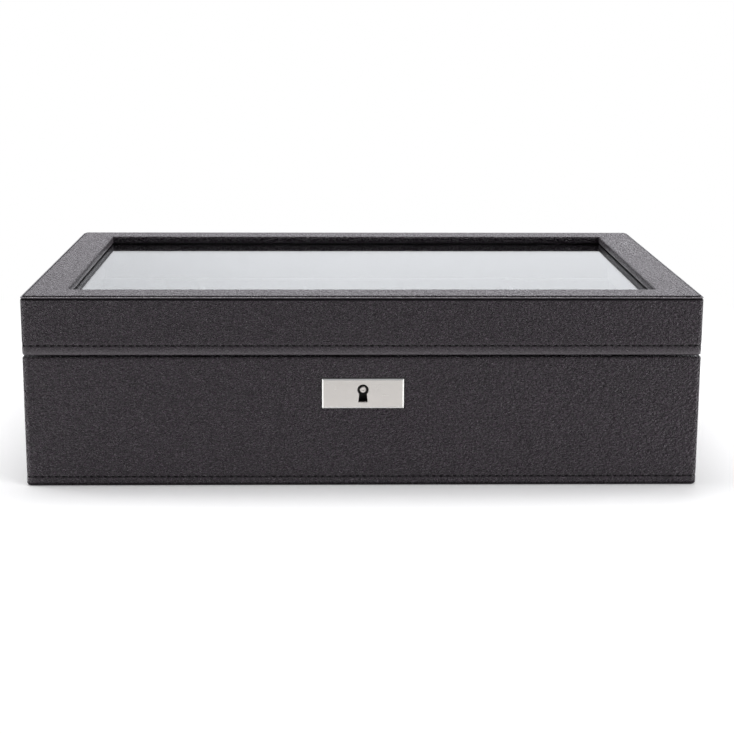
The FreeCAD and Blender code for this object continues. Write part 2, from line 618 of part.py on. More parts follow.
# Base: four boards and a floor, wrapped in leather that turns over the rim and under the foot
base_core = rounded_block(
    "base_core", "at.wood_x", "at.wood_y", ("at.wood_bottom", "at.wood_rim"),
    "at.core_corner", "at.core_foot", "at.core_rim")
base_outside = rounded_block(
    "base_outside", "at.outer_x", "at.outer_y", ("dims.felt_proud", "at.rim"),
    "dims.corner_radius", "dims.base_edge_radius", "dims.rim_radius")
BASE_Z = ("at.wood_bottom", "at.wood_rim")
base_front_blank = board("base_front_blank", base_core, ACROSS, FRONT, BASE_Z)
base_back_blank = board("base_back_blank", base_core, ACROSS, BACK, BASE_Z)
subparts += [
    cut("base_front_wall", base_front_blank, *lock_mortises, board_keyhole, lock_screws),
    cut("base_back_wall", base_back_blank, *base_mortises, hinge_base_screws),
    board("base_left_wall", base_core, LEFT, BETWEEN, BASE_Z),
    board("base_right_wall", base_core, RIGHT, BETWEEN, BASE_Z),
    block("base_floor", both("at.inner_x"), both("at.inner_y"), ("at.wood_bottom", "at.floor_top")),
    block(
        "base_felt", both("at.felt_x - dims.felt_clearance"), both("at.felt_y - dims.felt_clearance"),
        ("0", "at.wood_bottom")),
    cut(
        "base_leather",
        cut("base_skin", base_outside, base_core),
        block("base_mouth", both("at.inner_x"), both("at.inner_y"), ("at.wood_rim", "at.rim")),
        block("base_underside", both("at.felt_x"), both("at.felt_y"), ("dims.felt_proud", "at.wood_bottom")),
        plate_mortise, *lock_mortises, *base_mortises,
    ),
]

# Inside: suede lining, dividers halved into each other, and cushions
subparts += ring_boards(
    "base_lining", "at.inner_x", "at.inner_y", "dims.lining", ("at.floor_top", "at.lining_top"))
subparts.append(block("floor_lining", both("at.lined_x"), both("at.lined_y"), ("at.floor_top", "at.bed")))
lap = "dims.divider / 2 + dims.lap_clearance"
divider_spots = [f"({number - COLUMNS / 2}) * at.pitch_x" for number in range(1, COLUMNS)]
long_outline = [("-at.lined_x", "at.bed"), ("at.lined_x", "at.bed"), ("at.lined_x", "at.divider_top")]
for spot in reversed(divider_spots):
    near, far = about(spot, lap)
    long_outline += [(far, "at.divider_top"), (far, "at.divider_mid")]
    long_outline += [(near, "at.divider_mid"), (near, "at.divider_top")]
long_outline.append(("-at.lined_x", "at.divider_top"))
subparts.append(prism("divider_long", "xz", long_outline, *both("dims.divider / 2")))
cross_outline = [
    ("-at.lined_y", "at.bed"), (f"-({lap})", "at.bed"), (f"-({lap})", "at.divider_mid"),
    (lap, "at.divider_mid"), (lap, "at.bed"), ("at.lined_y", "at.bed"),
    ("at.lined_y", "at.divider_top"), ("-at.lined_y", "at.divider_top"),
]
for number, spot in enumerate(divider_spots, 1):
    subparts.append(prism(f"divider_cross_{number}", "yz", cross_outline, *about(spot, "dims.divider / 2")))


def arc(sketch, start, end, swell, tag):
    """An arc between two spots that swells to its right; its radius follows from the chord and the swell."""
    first, last = flat_point(sketch, start), flat_point(sketch, end)
    chord = last - first
    outward = FreeCAD.Vector(chord.y, -chord.x, 0).normalize()
    crest = (first + last) / 2 + outward * sketch.evalExpression(swell)
    edge = sketch.addGeometry(Part.Arc(first, crest, last))
    run = f"(({end[0]}) - ({start[0]}))^2 + (({end[1]}) - ({start[1]}))^2"
    radius = f"(({run}) / 4 + ({swell})^2) / (2 * ({swell}))"
    number = sketch.addConstraint(Sketcher.Constraint("Radius", edge, sketch.evalExpression(radius)))
    sketch.renameConstraint(number, f"{tag}_radius")
    sketch.setExpression(f"Constraints.{tag}_radius", radius)
    return edge


def cushion_section(body, name, offset, inset, drop):
    """A flat foot, two swelling ends and a crown; inset draws the ends in and drop lowers the crown."""
    sketch = new_sketch(body, name, "yz", offset)
    foot = f"at.cushion_y - dims.cushion_foot_inset - ({inset})"
    shoulder = f"at.cushion_y - dims.cushion_shoulder_inset - ({inset})"
    level = "dims.cushion_shoulder"
    crown = f"at.cushion_z - dims.cushion_shoulder - ({drop})"
    swell = "dims.cushion_swell"
    corners = [(f"-({foot})", "0"), (foot, "0"), (shoulder, level), (f"-({shoulder})", level)]
    edges = [
        sketch.addGeometry(Part.LineSegment(flat_point(sketch, corners[0]), flat_point(sketch, corners[1]))),
        arc(sketch, corners[1], corners[2], swell, "back"),
        arc(sketch, corners[2], corners[3], crown, "crown"),
        arc(sketch, corners[3], corners[0], swell, "front"),
    ]
    chain(sketch, edges)
    for number, (edge, spot) in enumerate(zip(edges, corners)):
        pin_point(sketch, edge, f"corner{number}", spot)
    return sketch


cushion_form = doc.addObject("PartDesign::Body", "cushion_form")
cheek = "at.cushion_x - dims.cushion_cheek"
side = ("dims.cushion_side_inset", "dims.cushion_side_drop")
full = ("0", "dims.cushion_cheek_drop")
sections = [
    cushion_section(cushion_form, "cushion_left_face", "-at.cushion_x", *side),
    cushion_section(cushion_form, "cushion_left_cheek", f"-({cheek})", *full),
    cushion_section(cushion_form, "cushion_middle", "0", "dims.cushion_waist", "0"),
    cushion_section(cushion_form, "cushion_right_cheek", cheek, *full),
    cushion_section(cushion_form, "cushion_right_face", "at.cushion_x", *side),
]
cushion_loft = cushion_form.newObject("PartDesign::AdditiveLoft", "cushion_loft")
cushion_loft.Profile = sections[0]
cushion_loft.Sections = sections[1:]
doc.recompute()
for row, row_sign in zip(ROWS, ("-1", "1")):
    for column in range(COLUMNS):
        name = f"cushion_{row}_{column + 1}"
        cushion = doc.addObject("PartDesign::Body", name)
        copy = doc.addObject("PartDesign::FeatureBase", f"{name}_form")
        copy.BaseFeature = cushion_form
        cushion.Group = [copy]
        cushion.Tip = copy
        spot_x = f"({column - (COLUMNS - 1) / 2}) * at.pitch_x"
        spot_y = f"{row_sign} * (dims.divider + at.cell_y) / 2"
        place(cushion, (spot_x, spot_y, "at.bed"))
        subparts.append(cushion)

# Lid: four boards, a frame board with the window, leather in two pieces, and the glass on its retainers
lid_core = rounded_block(
    "lid_core", "at.wood_x", "at.wood_y", ("at.lid_wood_bottom", "at.lid_wood_top"),
    "at.core_corner", None, None)
lid_outside = rounded_block(
    "lid_outside", "at.outer_x", "at.outer_y", ("at.lid_bottom", "at.lid_top"),
    "dims.corner_radius", "dims.lid_edge_radius", "dims.lid_top_radius")
LID_Z = ("at.lid_wood_bottom", "at.glass_top")
lid_catch_blank = joined(
    "lid_catch_blank",
    block(
        "catch_plate", both("dims.catch_width / 2"), about("at.lock_mid", "dims.catch_depth / 2"),
        ("at.lid_bottom", "at.lid_bottom + dims.catch_plate")),
    prism("catch_prong", "xz", [
        ("dims.prong_width / 2", "at.lid_bottom"),
        ("-dims.prong_width / 2", "at.lid_bottom"),
        ("-dims.prong_width / 2", "at.arm_z + at.notch_half"),
        ("dims.notch_depth - dims.prong_width / 2", "at.arm_z + at.notch_half"),
        ("dims.notch_depth - dims.prong_width / 2", "at.arm_z - at.notch_half"),
        ("-dims.prong_width / 2", "at.arm_z - at.notch_half"),
        ("-dims.prong_width / 2", "at.prong_tip"),
        ("dims.prong_width / 2", "at.prong_tip"),
    ], *about("at.lock_mid", "dims.prong / 2")),
)
catch_mortise = block(
    "catch_mortise", both("dims.catch_width / 2 + dims.fit_clearance"),
    about("at.lock_mid", "dims.catch_depth / 2 + dims.fit_clearance"),
    ("at.lid_bottom", "at.lid_bottom + dims.catch_plate"))
lid_front_blank = board("lid_front_blank", lid_core, ACROSS, FRONT, LID_Z)
lid_back_blank = board("lid_back_blank", lid_core, ACROSS, BACK, LID_Z)
lid_frame_blank = board(
    "lid_frame_blank", lid_core, ACROSS, both("at.wood_y"), ("at.glass_top", "at.lid_wood_top"))
window = block("window", both("at.opening_x"), both("at.opening_y"), ("at.glass_top", "at.lid_top"))
frame_window = block("frame_window", both("at.window_x"), both("at.window_y"), ("at.glass_top", "at.lid_top"))
lid_skin = cut("lid_skin", lid_outside, lid_core)
top_slab = block("top_slab", both("at.outer_x"), both("at.outer_y"), ("at.seam", "at.lid_top"))
subparts += [
    cut("lid_front_wall", lid_front_blank, catch_mortise, catch_screws),
    cut("lid_back_wall", lid_back_blank, *lid_mortises, hinge_lid_screws),
    board("lid_left_wall", lid_core, LEFT, BETWEEN, LID_Z),
    board("lid_right_wall", lid_core, RIGHT, BETWEEN, LID_Z),
    cut("lid_top_frame", lid_frame_blank, frame_window),
    cut(
        "lid_side_leather",
        cut("lid_side_skin", lid_skin, top_slab),
        block("lid_mouth", both("at.inner_x"), both("at.inner_y"), ("at.lid_bottom", "at.lid_wood_bottom")),
        catch_mortise, *lid_mortises,
    ),
    cut(
        "lid_top_leather",
        joined("lid_top_skin", shared("lid_top_sheet", lid_skin, top_slab), frame_window),
        window,
    ),
    block(
        "lid_glass", both("at.inner_x - dims.glass_clearance"), both("at.inner_y - dims.glass_clearance"),
        ("at.glass_bottom", "at.glass_top")),
    cut("lid_catch", lid_catch_blank, catch_screws),
    group("lid_bumpers", [
        rod(
            f"lid_bumper_{side}", "z", "dims.bumper_radius",
            (f"{sign} * (at.outer_x - dims.bumper_inset)", "-at.inner_y - dims.wall / 2", "at.rim"),
            "dims.lid_gap")
        for side, sign in SIDES
    ]),
]
subparts += ring_boards(
    "glass_retainer", "at.inner_x", "at.inner_y", "dims.retainer",
    ("at.lid_bottom + dims.retainer_drop", "at.glass_bottom"))

doc.recompute()
for item in doc.Objects:
    if "Invalid" in item.State or "Error" in item.State:
        raise RuntimeError(f"{item.Label} did not build")
for item in subparts:
    if item.Shape.isNull() or not item.Shape.isValid() or not item.Shape.Solids:
        raise RuntimeError(f"{item.Label} is not a sound solid")
    item.Shape.exportStep(f"parts/{item.Label}.step")
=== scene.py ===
"""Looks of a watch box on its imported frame: leather, stitches, glass, lock, hinges, lining and cushions."""

import math
import random
from collections import namedtuple

import bmesh
import bpy
from bpy.props import FloatProperty, FloatVectorProperty, IntProperty, PointerProperty
from mathutils import Matrix, Vector, noise


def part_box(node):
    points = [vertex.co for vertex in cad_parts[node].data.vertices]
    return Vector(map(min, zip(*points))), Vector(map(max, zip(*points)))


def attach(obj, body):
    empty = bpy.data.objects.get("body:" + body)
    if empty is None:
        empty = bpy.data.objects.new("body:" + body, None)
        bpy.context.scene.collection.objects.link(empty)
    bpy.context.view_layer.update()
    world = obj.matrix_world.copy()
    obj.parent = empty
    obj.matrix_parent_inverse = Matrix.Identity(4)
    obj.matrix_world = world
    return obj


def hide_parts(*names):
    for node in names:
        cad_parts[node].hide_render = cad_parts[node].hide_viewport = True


bl_info = {
    "name": "Watch Box",
    "version": (1, 0, 0),
    "blender": (4, 5, 0),
    "location": "3D View > Sidebar > Watch Box",
    "description": "Dresses the frame of a watch box with leather, suede, glass and nickel",
    "category": "Object",
}

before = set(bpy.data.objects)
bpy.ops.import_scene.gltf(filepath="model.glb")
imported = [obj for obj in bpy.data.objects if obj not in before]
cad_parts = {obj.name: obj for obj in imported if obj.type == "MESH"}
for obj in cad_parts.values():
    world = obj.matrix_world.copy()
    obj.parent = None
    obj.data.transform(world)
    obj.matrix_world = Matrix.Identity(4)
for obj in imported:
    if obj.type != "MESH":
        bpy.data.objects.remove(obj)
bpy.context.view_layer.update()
PHOTO_PIXELS = 734
SENSOR_MM = 36.0
SIDES = ("left", "right")
EDGES = ("front", "back", "left", "right")
CUSHIONS = [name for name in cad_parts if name.startswith("cushion_")]
QUARTERS = ((1, 1), (-1, 1), (-1, -1), (1, -1))

# A corner of a leather outline: its inset from the outside of the box, its level, its rounding, how much
# painted shade its leather carries and how tightly the leather is stretched over it. A spot is a point of the
# rounded outline.
Corner = namedtuple("Corner", "inset level radius shade stretch", defaults=(0.0, 0.0, 1.0))
Spot = namedtuple("Spot", "inset level shade stretch")

Lamp = namedtuple("Lamp", "name place target size")
LAMPS = (
    Lamp("top_lamp", (-0.12, 0.2, 1.15), (0.0, 0.0, 0.0), (1.2, 0.5)),
    Lamp("front_lamp", (0.65, -0.65, 1.15), (0.0, 0.0, 0.04), (0.7, 0.5)),
    Lamp("left_lamp", (-1.1, 0.2, 0.5), (0.0, 0.1, 0.05), (0.5, 0.6)),
    Lamp("right_lamp", (1.1, 0.2, 0.5), (0.0, 0.1, 0.05), (0.5, 0.6)),
)

# Sockets of a Mix node by number, because their names repeat for each kind of value
MIX_FACTOR = 0
MIX_FIRST_VECTOR = 4
MIX_SECOND_VECTOR = 5
MIX_FIRST_COLOUR = 6
MIX_SECOND_COLOUR = 7
MIXED_VECTOR = 1
MIXED_COLOUR = 2


class CoverSizes(bpy.types.PropertyGroup):
    """Sizes of the leather covers."""

    leather: FloatProperty(
        name="Leather", description="Thickness of the leather", default=0.001, unit="LENGTH")
    corner: FloatProperty(
        name="Corner", description="Rounding of the upright corners", default=0.003, unit="LENGTH")
    foot: FloatProperty(
        name="Foot", description="Rounding of the lower edge of the base", default=0.0013, unit="LENGTH")
    sole: FloatProperty(
        name="Sole", description="Floor to the lower edge of the leather", default=0.00012, unit="LENGTH")
    sole_width: FloatProperty(
        name="Sole width", description="Width of the leather edge near the floor",
        default=0.003, unit="LENGTH")
    rim_drop: FloatProperty(
        name="Rim drop", description="Frame's rim down to the rim of the leather",
        default=0.00015, unit="LENGTH")
    rim: FloatProperty(
        name="Rim", description="Rounding of the rim of the base", default=0.0007, unit="LENGTH")
    lid_edge: FloatProperty(
        name="Lid edge", description="Rounding of the lower edge of the lid", default=0.0009, unit="LENGTH")
    bead: FloatProperty(
        name="Bead", description="Width of the rolled edge round the top", default=0.0008, unit="LENGTH")
    bead_height: FloatProperty(
        name="Bead height", description="Height of the rolled edge", default=0.0008, unit="LENGTH")
    bead_drop: FloatProperty(
        name="Bead drop", description="Top sheet down to the rolled edge", default=0.00045, unit="LENGTH")
    crease: FloatProperty(
        name="Crease", description="Width of the crease inside the rolled edge",
        default=0.0009, unit="LENGTH")
    seam: FloatProperty(
        name="Seam", description="Open seam under the rolled edge", default=0.0005, unit="LENGTH")
    reveal: FloatProperty(
        name="Reveal", description="Shadow gap between the window edge and the glass",
        default=0.0006, unit="LENGTH")
    turn_under: FloatProperty(
        name="Turn under", description="Leather turned under the base", default=0.014, unit="LENGTH")
    border: FloatProperty(
        name="Border", description="Width of the leather border round the glass",
        default=0.0204, unit="LENGTH")
    window_edge: FloatProperty(
        name="Window edge", description="Rounding of the window edge", default=0.0006, unit="LENGTH")
    leaf: FloatProperty(
        name="Hinge leaf", description="Thickness of a hinge leaf", default=0.0012, unit="LENGTH")
    plate_gap: FloatProperty(
        name="Plate gap", description="Gap round the lock plate", default=0.0002, unit="LENGTH")
    fit: FloatProperty(
        name="Fit", description="Clearance round metal let into the leather", default=0.0001, unit="LENGTH")


class StitchSizes(bpy.types.PropertyGroup):
    """Sizes of the two rows of stitches."""

    base_row: FloatProperty(
        name="Base row", description="Foot of the base to its stitches", default=0.0044, unit="LENGTH")
    lid_row: FloatProperty(
        name="Lid row", description="Lower edge of the lid to its stitches", default=0.0049, unit="LENGTH")
    pitch: FloatProperty(
        name="Pitch", description="Distance between stitches", default=0.0035, unit="LENGTH")
    length: FloatProperty(name="Length", description="Length of a stitch", default=0.0026, unit="LENGTH")
    thread: FloatProperty(
        name="Thread", description="Thickness of the thread", default=0.0014, unit="LENGTH")
    hole: FloatProperty(
        name="Needle hole", description="Width of a needle hole", default=0.0013, unit="LENGTH")
    channel: FloatProperty(
        name="Channel", description="Half the height of the pressed channel",
        default=0.00075, unit="LENGTH")
    depth: FloatProperty(
        name="Depth", description="Depth of the pressed channel", default=0.00034, unit="LENGTH")
    slant: FloatProperty(
        name="Slant", description="Lean of a stitch in its row", default=0.12, unit="ROTATION")


class ScrewSizes(bpy.types.PropertyGroup):
    """Sizes of the countersunk screws."""

    head: FloatProperty(name="Head", description="Radius of the head", default=0.00175, unit="LENGTH")
    shank: FloatProperty(name="Shank", description="Radius of the shank", default=0.00088, unit="LENGTH")
    length: FloatProperty(name="Length", description="Length of the screw", default=0.0069, unit="LENGTH")
    spacing: FloatProperty(
        name="Spacing", description="Middle of a hinge to its screws", default=0.011, unit="LENGTH")
    recess: FloatProperty(
        name="Recess", description="Reach of the cross recess", default=0.00105, unit="LENGTH")
    recess_width: FloatProperty(
        name="Recess width", description="Half the width of an arm of the cross",
        default=0.00026, unit="LENGTH")
    recess_depth: FloatProperty(
        name="Recess depth", description="Depth of the cross recess", default=0.0006, unit="LENGTH")


class LockSizes(bpy.types.PropertyGroup):
    """Sizes of the lock plate and its keyhole."""

    inset: FloatProperty(
        name="Inset", description="Edge of the frame's plate to the finished plate",
        default=0.0003, unit="LENGTH")
    bevel: FloatProperty(
        name="Bevel", description="Width of the bevel round the plate", default=0.0007, unit="LENGTH")
    bevel_dip: FloatProperty(
        name="Bevel dip", description="Depth of the bevel", default=0.0004, unit="LENGTH")
    hole_height: FloatProperty(
        name="Keyhole height", description="Foot of the box to the round of the keyhole",
        default=0.0492, unit="LENGTH")
    hole_radius: FloatProperty(
        name="Keyhole radius", description="Radius of the round of the keyhole",
        default=0.0027, unit="LENGTH")
    slot_top: FloatProperty(
        name="Slot top", description="Width of the slot at its top", default=0.0036, unit="LENGTH")
    slot_bottom: FloatProperty(
        name="Slot bottom", description="Width of the slot at its foot", default=0.0046, unit="LENGTH")
    slot_foot: FloatProperty(
        name="Slot foot", description="Foot of the box to the foot of the slot",
        default=0.0431, unit="LENGTH")


class CushionSizes(bpy.types.PropertyGroup):
    """Sizes of the stuffed cushions."""

    inset: FloatProperty(
        name="Inset", description="Sewn cover inside the stuffed cushion", default=0.0022, unit="LENGTH")
    voxel: FloatProperty(
        name="Voxel", description="Mesh size of the sewn cover", default=0.0032, unit="LENGTH")
    pressure: FloatProperty(name="Pressure", description="Stuffing pressure", default=4.0)
    frames: IntProperty(name="Frames", description="Steps of the stuffing", default=20)
    cap: FloatProperty(
        name="Cap", description="Most that the cover may swell", default=0.0032, unit="LENGTH")
    enlarge: FloatProperty(
        name="Enlarge", description="Size at which the cover is stuffed, over its real size", default=6.0)
    seam: FloatProperty(
        name="Seam", description="Side of a cushion to its piped seam", default=0.0042, unit="LENGTH")
    divider_edge: FloatProperty(
        name="Divider edge", description="Rounding of the wrapped dividers", default=0.0011, unit="LENGTH")
    piping: FloatProperty(name="Piping", description="Radius of the piping", default=0.0008, unit="LENGTH")
    lump: FloatProperty(name="Lump", description="Height of the soft lumps", default=0.0009, unit="LENGTH")
    lumps: FloatProperty(name="Lumps", description="How close the soft lumps lie", default=55.0)
    small_lump: FloatProperty(
        name="Small lump", description="Height of the small lumps", default=0.00025, unit="LENGTH")
    small_lumps: FloatProperty(
        name="Small lumps", description="How close the small lumps lie", default=160.0)
    pull: FloatProperty(
        name="Pull", description="Depth that a seam draws the cover in", default=0.0005, unit="LENGTH")
    pull_reach: FloatProperty(
        name="Pull reach", description="How far a seam pulls the cover", default=0.0022, unit="LENGTH")
    pucker: FloatProperty(
        name="Pucker", description="Height of the puckers along a seam", default=0.00022, unit="LENGTH")
    puckers: IntProperty(name="Puckers", description="Number of puckers round a seam", default=26)


class FinishColours(bpy.types.PropertyGroup):
    """Colours of the finishes."""

    leather: FloatVectorProperty(
        name="Leather", description="Charcoal leather", subtype="COLOR", default=(0.0245, 0.0124, 0.023))
    thread: FloatVectorProperty(
        name="Thread", description="Stitching thread", subtype="COLOR", default=(0.004, 0.0035, 0.004))
    # Painted shade: the colour of the dark beads in the needle holes.
    hole: FloatVectorProperty(
        name="Needle hole", description="Shade in the needle holes", subtype="COLOR",
        default=(0.004, 0.004, 0.004))
    lining: FloatVectorProperty(
        name="Lining", description="Suede of the lining", subtype="COLOR", default=(0.048, 0.046, 0.049))
    cushion: FloatVectorProperty(
        name="Cushion", description="Suede of the cushions", subtype="COLOR", default=(0.057, 0.055, 0.058))
    nickel: FloatVectorProperty(
        name="Nickel", description="Plated metal", subtype="COLOR", default=(0.57, 0.545, 0.52))
    # The bevel is the plate's nickel, polished and lighter: its gloss is real, its lighter colour a painted
    # highlight.
    bright: FloatVectorProperty(
        name="Bright metal", description="Bright-cut edge of the lock plate", subtype="COLOR",
        default=(0.92, 0.91, 0.89))
    steel: FloatVectorProperty(
        name="Steel", description="Metal inside the lock", subtype="COLOR", default=(0.07, 0.068, 0.066))
    stained: FloatVectorProperty(
        name="Stained board", description="Blackened board of the walls and the lid", subtype="COLOR",
        default=(0.010, 0.009, 0.010))
    board: FloatVectorProperty(
        name="Board", description="Fibreboard", subtype="COLOR", default=(0.30, 0.20, 0.12))
    felt: FloatVectorProperty(
        name="Felt", description="Felt under the base", subtype="COLOR", default=(0.012, 0.012, 0.013))
    glass: FloatVectorProperty(
        name="Glass", description="Tint of the glass", subtype="COLOR", default=(0.95, 0.97, 0.98))
    bumper: FloatVectorProperty(
        name="Bumper", description="Soft bumpers under the lid", subtype="COLOR",
        default=(0.03, 0.03, 0.03))


class StageSettings(bpy.types.PropertyGroup):
    """The floor, the lamps and the camera."""

    camera: FloatVectorProperty(
        name="Camera", description="Place of the camera", subtype="TRANSLATION", unit="LENGTH",
        default=(-0.01629, -0.94273, 0.24295))
    heading: FloatProperty(
        name="Heading", description="Turn of the camera to the right",
        default=math.radians(1.2594), unit="ROTATION")
    tilt: FloatProperty(
        name="Tilt", description="Tilt of the camera downwards",
        default=math.radians(12.394), unit="ROTATION")
    roll: FloatProperty(
        name="Roll", description="Roll of the camera", default=math.radians(0.2183), unit="ROTATION")
    focal: FloatProperty(
        name="Focal length", description="Focal length in pixels of the photograph", default=1717.4)
    floor: FloatVectorProperty(
        name="Floor", description="Floor and backdrop", subtype="COLOR", default=(0.93, 0.93, 0.94))
    sky: FloatVectorProperty(
        name="Room", description="Tint of the room seen in gloss", subtype="COLOR",
        default=(0.95, 0.967, 1.0))
    floor_size: FloatProperty(
        name="Floor size", description="Half the width of the floor", default=6.0, unit="LENGTH")
    fade_near: FloatProperty(
        name="Fade near", description="Where the floor starts to fade to white",
        default=0.26, unit="LENGTH")
    fade_far: FloatProperty(
        name="Fade far", description="Where the floor is plain white", default=0.5, unit="LENGTH")
    floor_glow: FloatProperty(
        name="Floor glow", description="Even white of the floor seen by the camera", default=0.115)
    back_gloss: FloatProperty(
        name="Back gloss", description="White of the room behind, seen in gloss", default=1.37)
    front_gloss: FloatProperty(
        name="Front gloss", description="White of the room in front, seen in gloss", default=0.43)
    top_gloss: FloatProperty(
        name="Top gloss", description="White of the room above, seen in gloss", default=0.4)
    ambient: FloatProperty(name="Ambient", description="Light from all round", default=0.27)
    top_lamp: FloatProperty(
        name="Top lamp", description="Power of the lamp above", default=12.0, unit="POWER")
    front_lamp: FloatProperty(
        name="Front lamp", description="Power of the lamp in front", default=5.8, unit="POWER")
    left_lamp: FloatProperty(
        name="Left lamp", description="Power of the lamp at the left", default=2.4, unit="POWER")
    right_lamp: FloatProperty(
        name="Right lamp", description="Power of the lamp at the right", default=2.4, unit="POWER")


class Wire:
    """A socket that takes part in arithmetic."""

    def __init__(self, graph, socket):
        self.graph = graph
        self.socket = socket

    def reckon(self, operation, first, second):
        """A Math node on two values."""
        return self.graph.add("ShaderNodeMath", {"operation": operation}, {0: first, 1: second})

    def beside(self, output):
        """Another output of the same node."""
        return Wire(self.graph, self.socket.node.outputs[output])

    def __add__(self, other):
        return self.reckon("ADD", self, other)

    def __sub__(self, other):
        return self.reckon("SUBTRACT", self, other)

    def __rsub__(self, other):
        return self.reckon("SUBTRACT", other, self)

    def __mul__(self, other):
        return self.reckon("MULTIPLY", self, other)

    __radd__ = __add__
    __rmul__ = __mul__


class Graph:
    """A node tree that is built node by node."""

    def __init__(self, tree):
        self.tree = tree

    def add(self, kind, settings=None, sockets=None, output=0):
        """A node of the kind, its settings first and then its sockets; gives one of its outputs."""
        node = self.tree.nodes.new(kind)
        for name, value in (settings or {}).items():
            setattr(node, name, value)
        for name, value in (sockets or {}).items():
            if isinstance(value, Wire):
                self.tree.links.new(value.socket, node.inputs[name])
            else:
                node.inputs[name].default_value = value
        return Wire(self, node.outputs[output]) if node.outputs else None


def opaque(colour):
    """A colour with full alpha."""
    return (*colour, 1.0)


def scaled(colour, share):
    """A lighter or darker colour with full alpha."""
    return (*[channel * share for channel in colour], 1.0)


def new_finish(name):
    """An empty material and its graph."""
    finish = bpy.data.materials.new(name)
    finish.use_nodes = True
    finish.node_tree.nodes.clear()
    return finish, Graph(finish.node_tree)


def shade(graph, sockets):
    """The surface shader of a material."""
    surface = graph.add("ShaderNodeBsdfPrincipled", {}, sockets)
    graph.add("ShaderNodeOutputMaterial", {}, {"Surface": surface})


def speckle(graph, place, scale, detail=3.0, roughness=0.55, output=0):
    """Soft noise over a surface."""
    sockets = {"Vector": place, "Scale": scale, "Detail": detail, "Roughness": roughness}
    return graph.add("ShaderNodeTexNoise", {"noise_dimensions": "3D"}, sockets, output)


def spread(graph, value, low, high, new_low=0.0, new_high=1.0):
    """A value moved from one range to another, with smooth ends."""
    return graph.add("ShaderNodeMapRange", {"interpolation_type": "SMOOTHSTEP", "clamp": True}, {
        "Value": value, "From Min": low, "From Max": high, "To Min": new_low, "To Max": new_high})


def distance(graph, value, middle):
    """How far a value lies from a middle value."""
    return graph.add("ShaderNodeMath", {"operation": "ABSOLUTE"}, {0: value - middle})


def greater(graph, first, second):
    """The greater of two values."""
    return graph.add("ShaderNodeMath", {"operation": "MAXIMUM"}, {0: first, 1: second})


def blend(graph, share, first, second):
    """A colour between two."""
    sockets = {MIX_FACTOR: share, MIX_FIRST_COLOUR: first, MIX_SECOND_COLOUR: second}
    return graph.add("ShaderNodeMix", {"data_type": "RGBA"}, sockets, MIXED_COLOUR)


def drifted(graph, share, place, drift):
    """A place moved part of the way to another."""
    sockets = {MIX_FACTOR: share, MIX_FIRST_VECTOR: place, MIX_SECOND_VECTOR: drift}
    return graph.add("ShaderNodeMix", {"data_type": "VECTOR"}, sockets, MIXED_VECTOR)


def raised(graph, height, depth, strength=1.0, under=None):
    """A bumped normal, over another where one is given."""
    sockets = {"Height": height, "Distance": depth, "Strength": strength}
    if under:
        sockets["Normal"] = under
    return graph.add("ShaderNodeBump", {}, sockets)


def object_place(graph):
    """A place on the piece."""
    return graph.add("ShaderNodeTexCoord", output="Object")


def carried(graph, name):
    """A value that the mesh carries on its points."""
    settings = {"attribute_type": "GEOMETRY", "attribute_name": name}
    return graph.add("ShaderNodeAttribute", settings, output="Fac")


def stretched(graph, place, scale):
    """A place with each axis scaled by itself."""
    return graph.add("ShaderNodeMapping", {"vector_type": "POINT"}, {"Vector": place, "Scale": scale})


def leather_finish(colour):
    """Charcoal leather with a pebble grain, smoother where it is stretched, with painted shade in its creases
    and where its mesh carries shade.
    """
    finish, graph = new_finish("pebbled_leather")
    place = object_place(graph)
    flat = stretched(graph, place, (1.0, 1.0, 1.35))
    swell = speckle(graph, flat, 680.0, detail=1.0, roughness=0.4)
    wrinkle = speckle(graph, flat, 360.0, detail=2.0, roughness=0.5)
    fold = spread(graph, distance(graph, wrinkle, 0.5), 0.0, 0.07)
    drift = speckle(graph, flat, 260.0, output="Color")
    warped = drifted(graph, 0.0022, flat, drift)
    edge = graph.add("ShaderNodeTexVoronoi", {"feature": "DISTANCE_TO_EDGE"}, {
        "Vector": warped, "Scale": 470.0})
    pebble = spread(graph, edge, 0.0, 0.28)
    tight = carried(graph, "stretch")
    loose = 1 - tight
    grain = (swell + fold * 0.22 + pebble * 0.22) * (0.15 + loose * 0.85)
    patch = speckle(graph, place, 24.0, detail=4.0)
    # The tone darkens in the lows of the grain: partly the grain's own colour, partly painted shade in its
    # creases.
    depth = fold * 0.35 + pebble * 0.3 + swell * 0.15 + patch * 0.2
    tone = blend(graph, depth * loose + tight * 0.6, scaled(colour, 0.1), scaled(colour, 1.8))
    rough = (0.4 - fold * 0.15 + (patch - 0.5) * 0.08) * loose + tight * 0.26
    fine = raised(graph, speckle(graph, place, 4200.0, detail=2.0), 0.00005, strength=0.4)
    normal = raised(graph, grain, 0.0035, under=fine)
    leather = graph.add("ShaderNodeBsdfPrincipled", {}, {
        "Base Color": tone, "Roughness": rough, "Normal": normal, "IOR": 1.5, "Specular IOR Level": 0.54,
        "Coat Weight": tight * 0.6, "Coat Roughness": 0.3, "Coat IOR": 1.7,
        "Sheen Weight": 0.36, "Sheen Roughness": 0.38, "Sheen Tint": (1.0, 0.92, 1.0, 1.0)})
    # A dark diffuse that paints shade, mixed in by the mesh's shade value and a little in the creases of the
    # grain.
    painted_shade_diffuse = graph.add("ShaderNodeBsdfDiffuse", {}, {"Color": scaled(colour, 0.15)})
    painted_shade = carried(graph, "shade")
    # Painted shade in the creases between the pebbles.
    crease = (1 - pebble) * loose * 0.2
    surface = graph.add("ShaderNodeMixShader", {}, {0: painted_shade + (1 - painted_shade) * crease, 1: leather, 2: painted_shade_diffuse})
    graph.add("ShaderNodeOutputMaterial", {}, {"Surface": surface})
    return finish


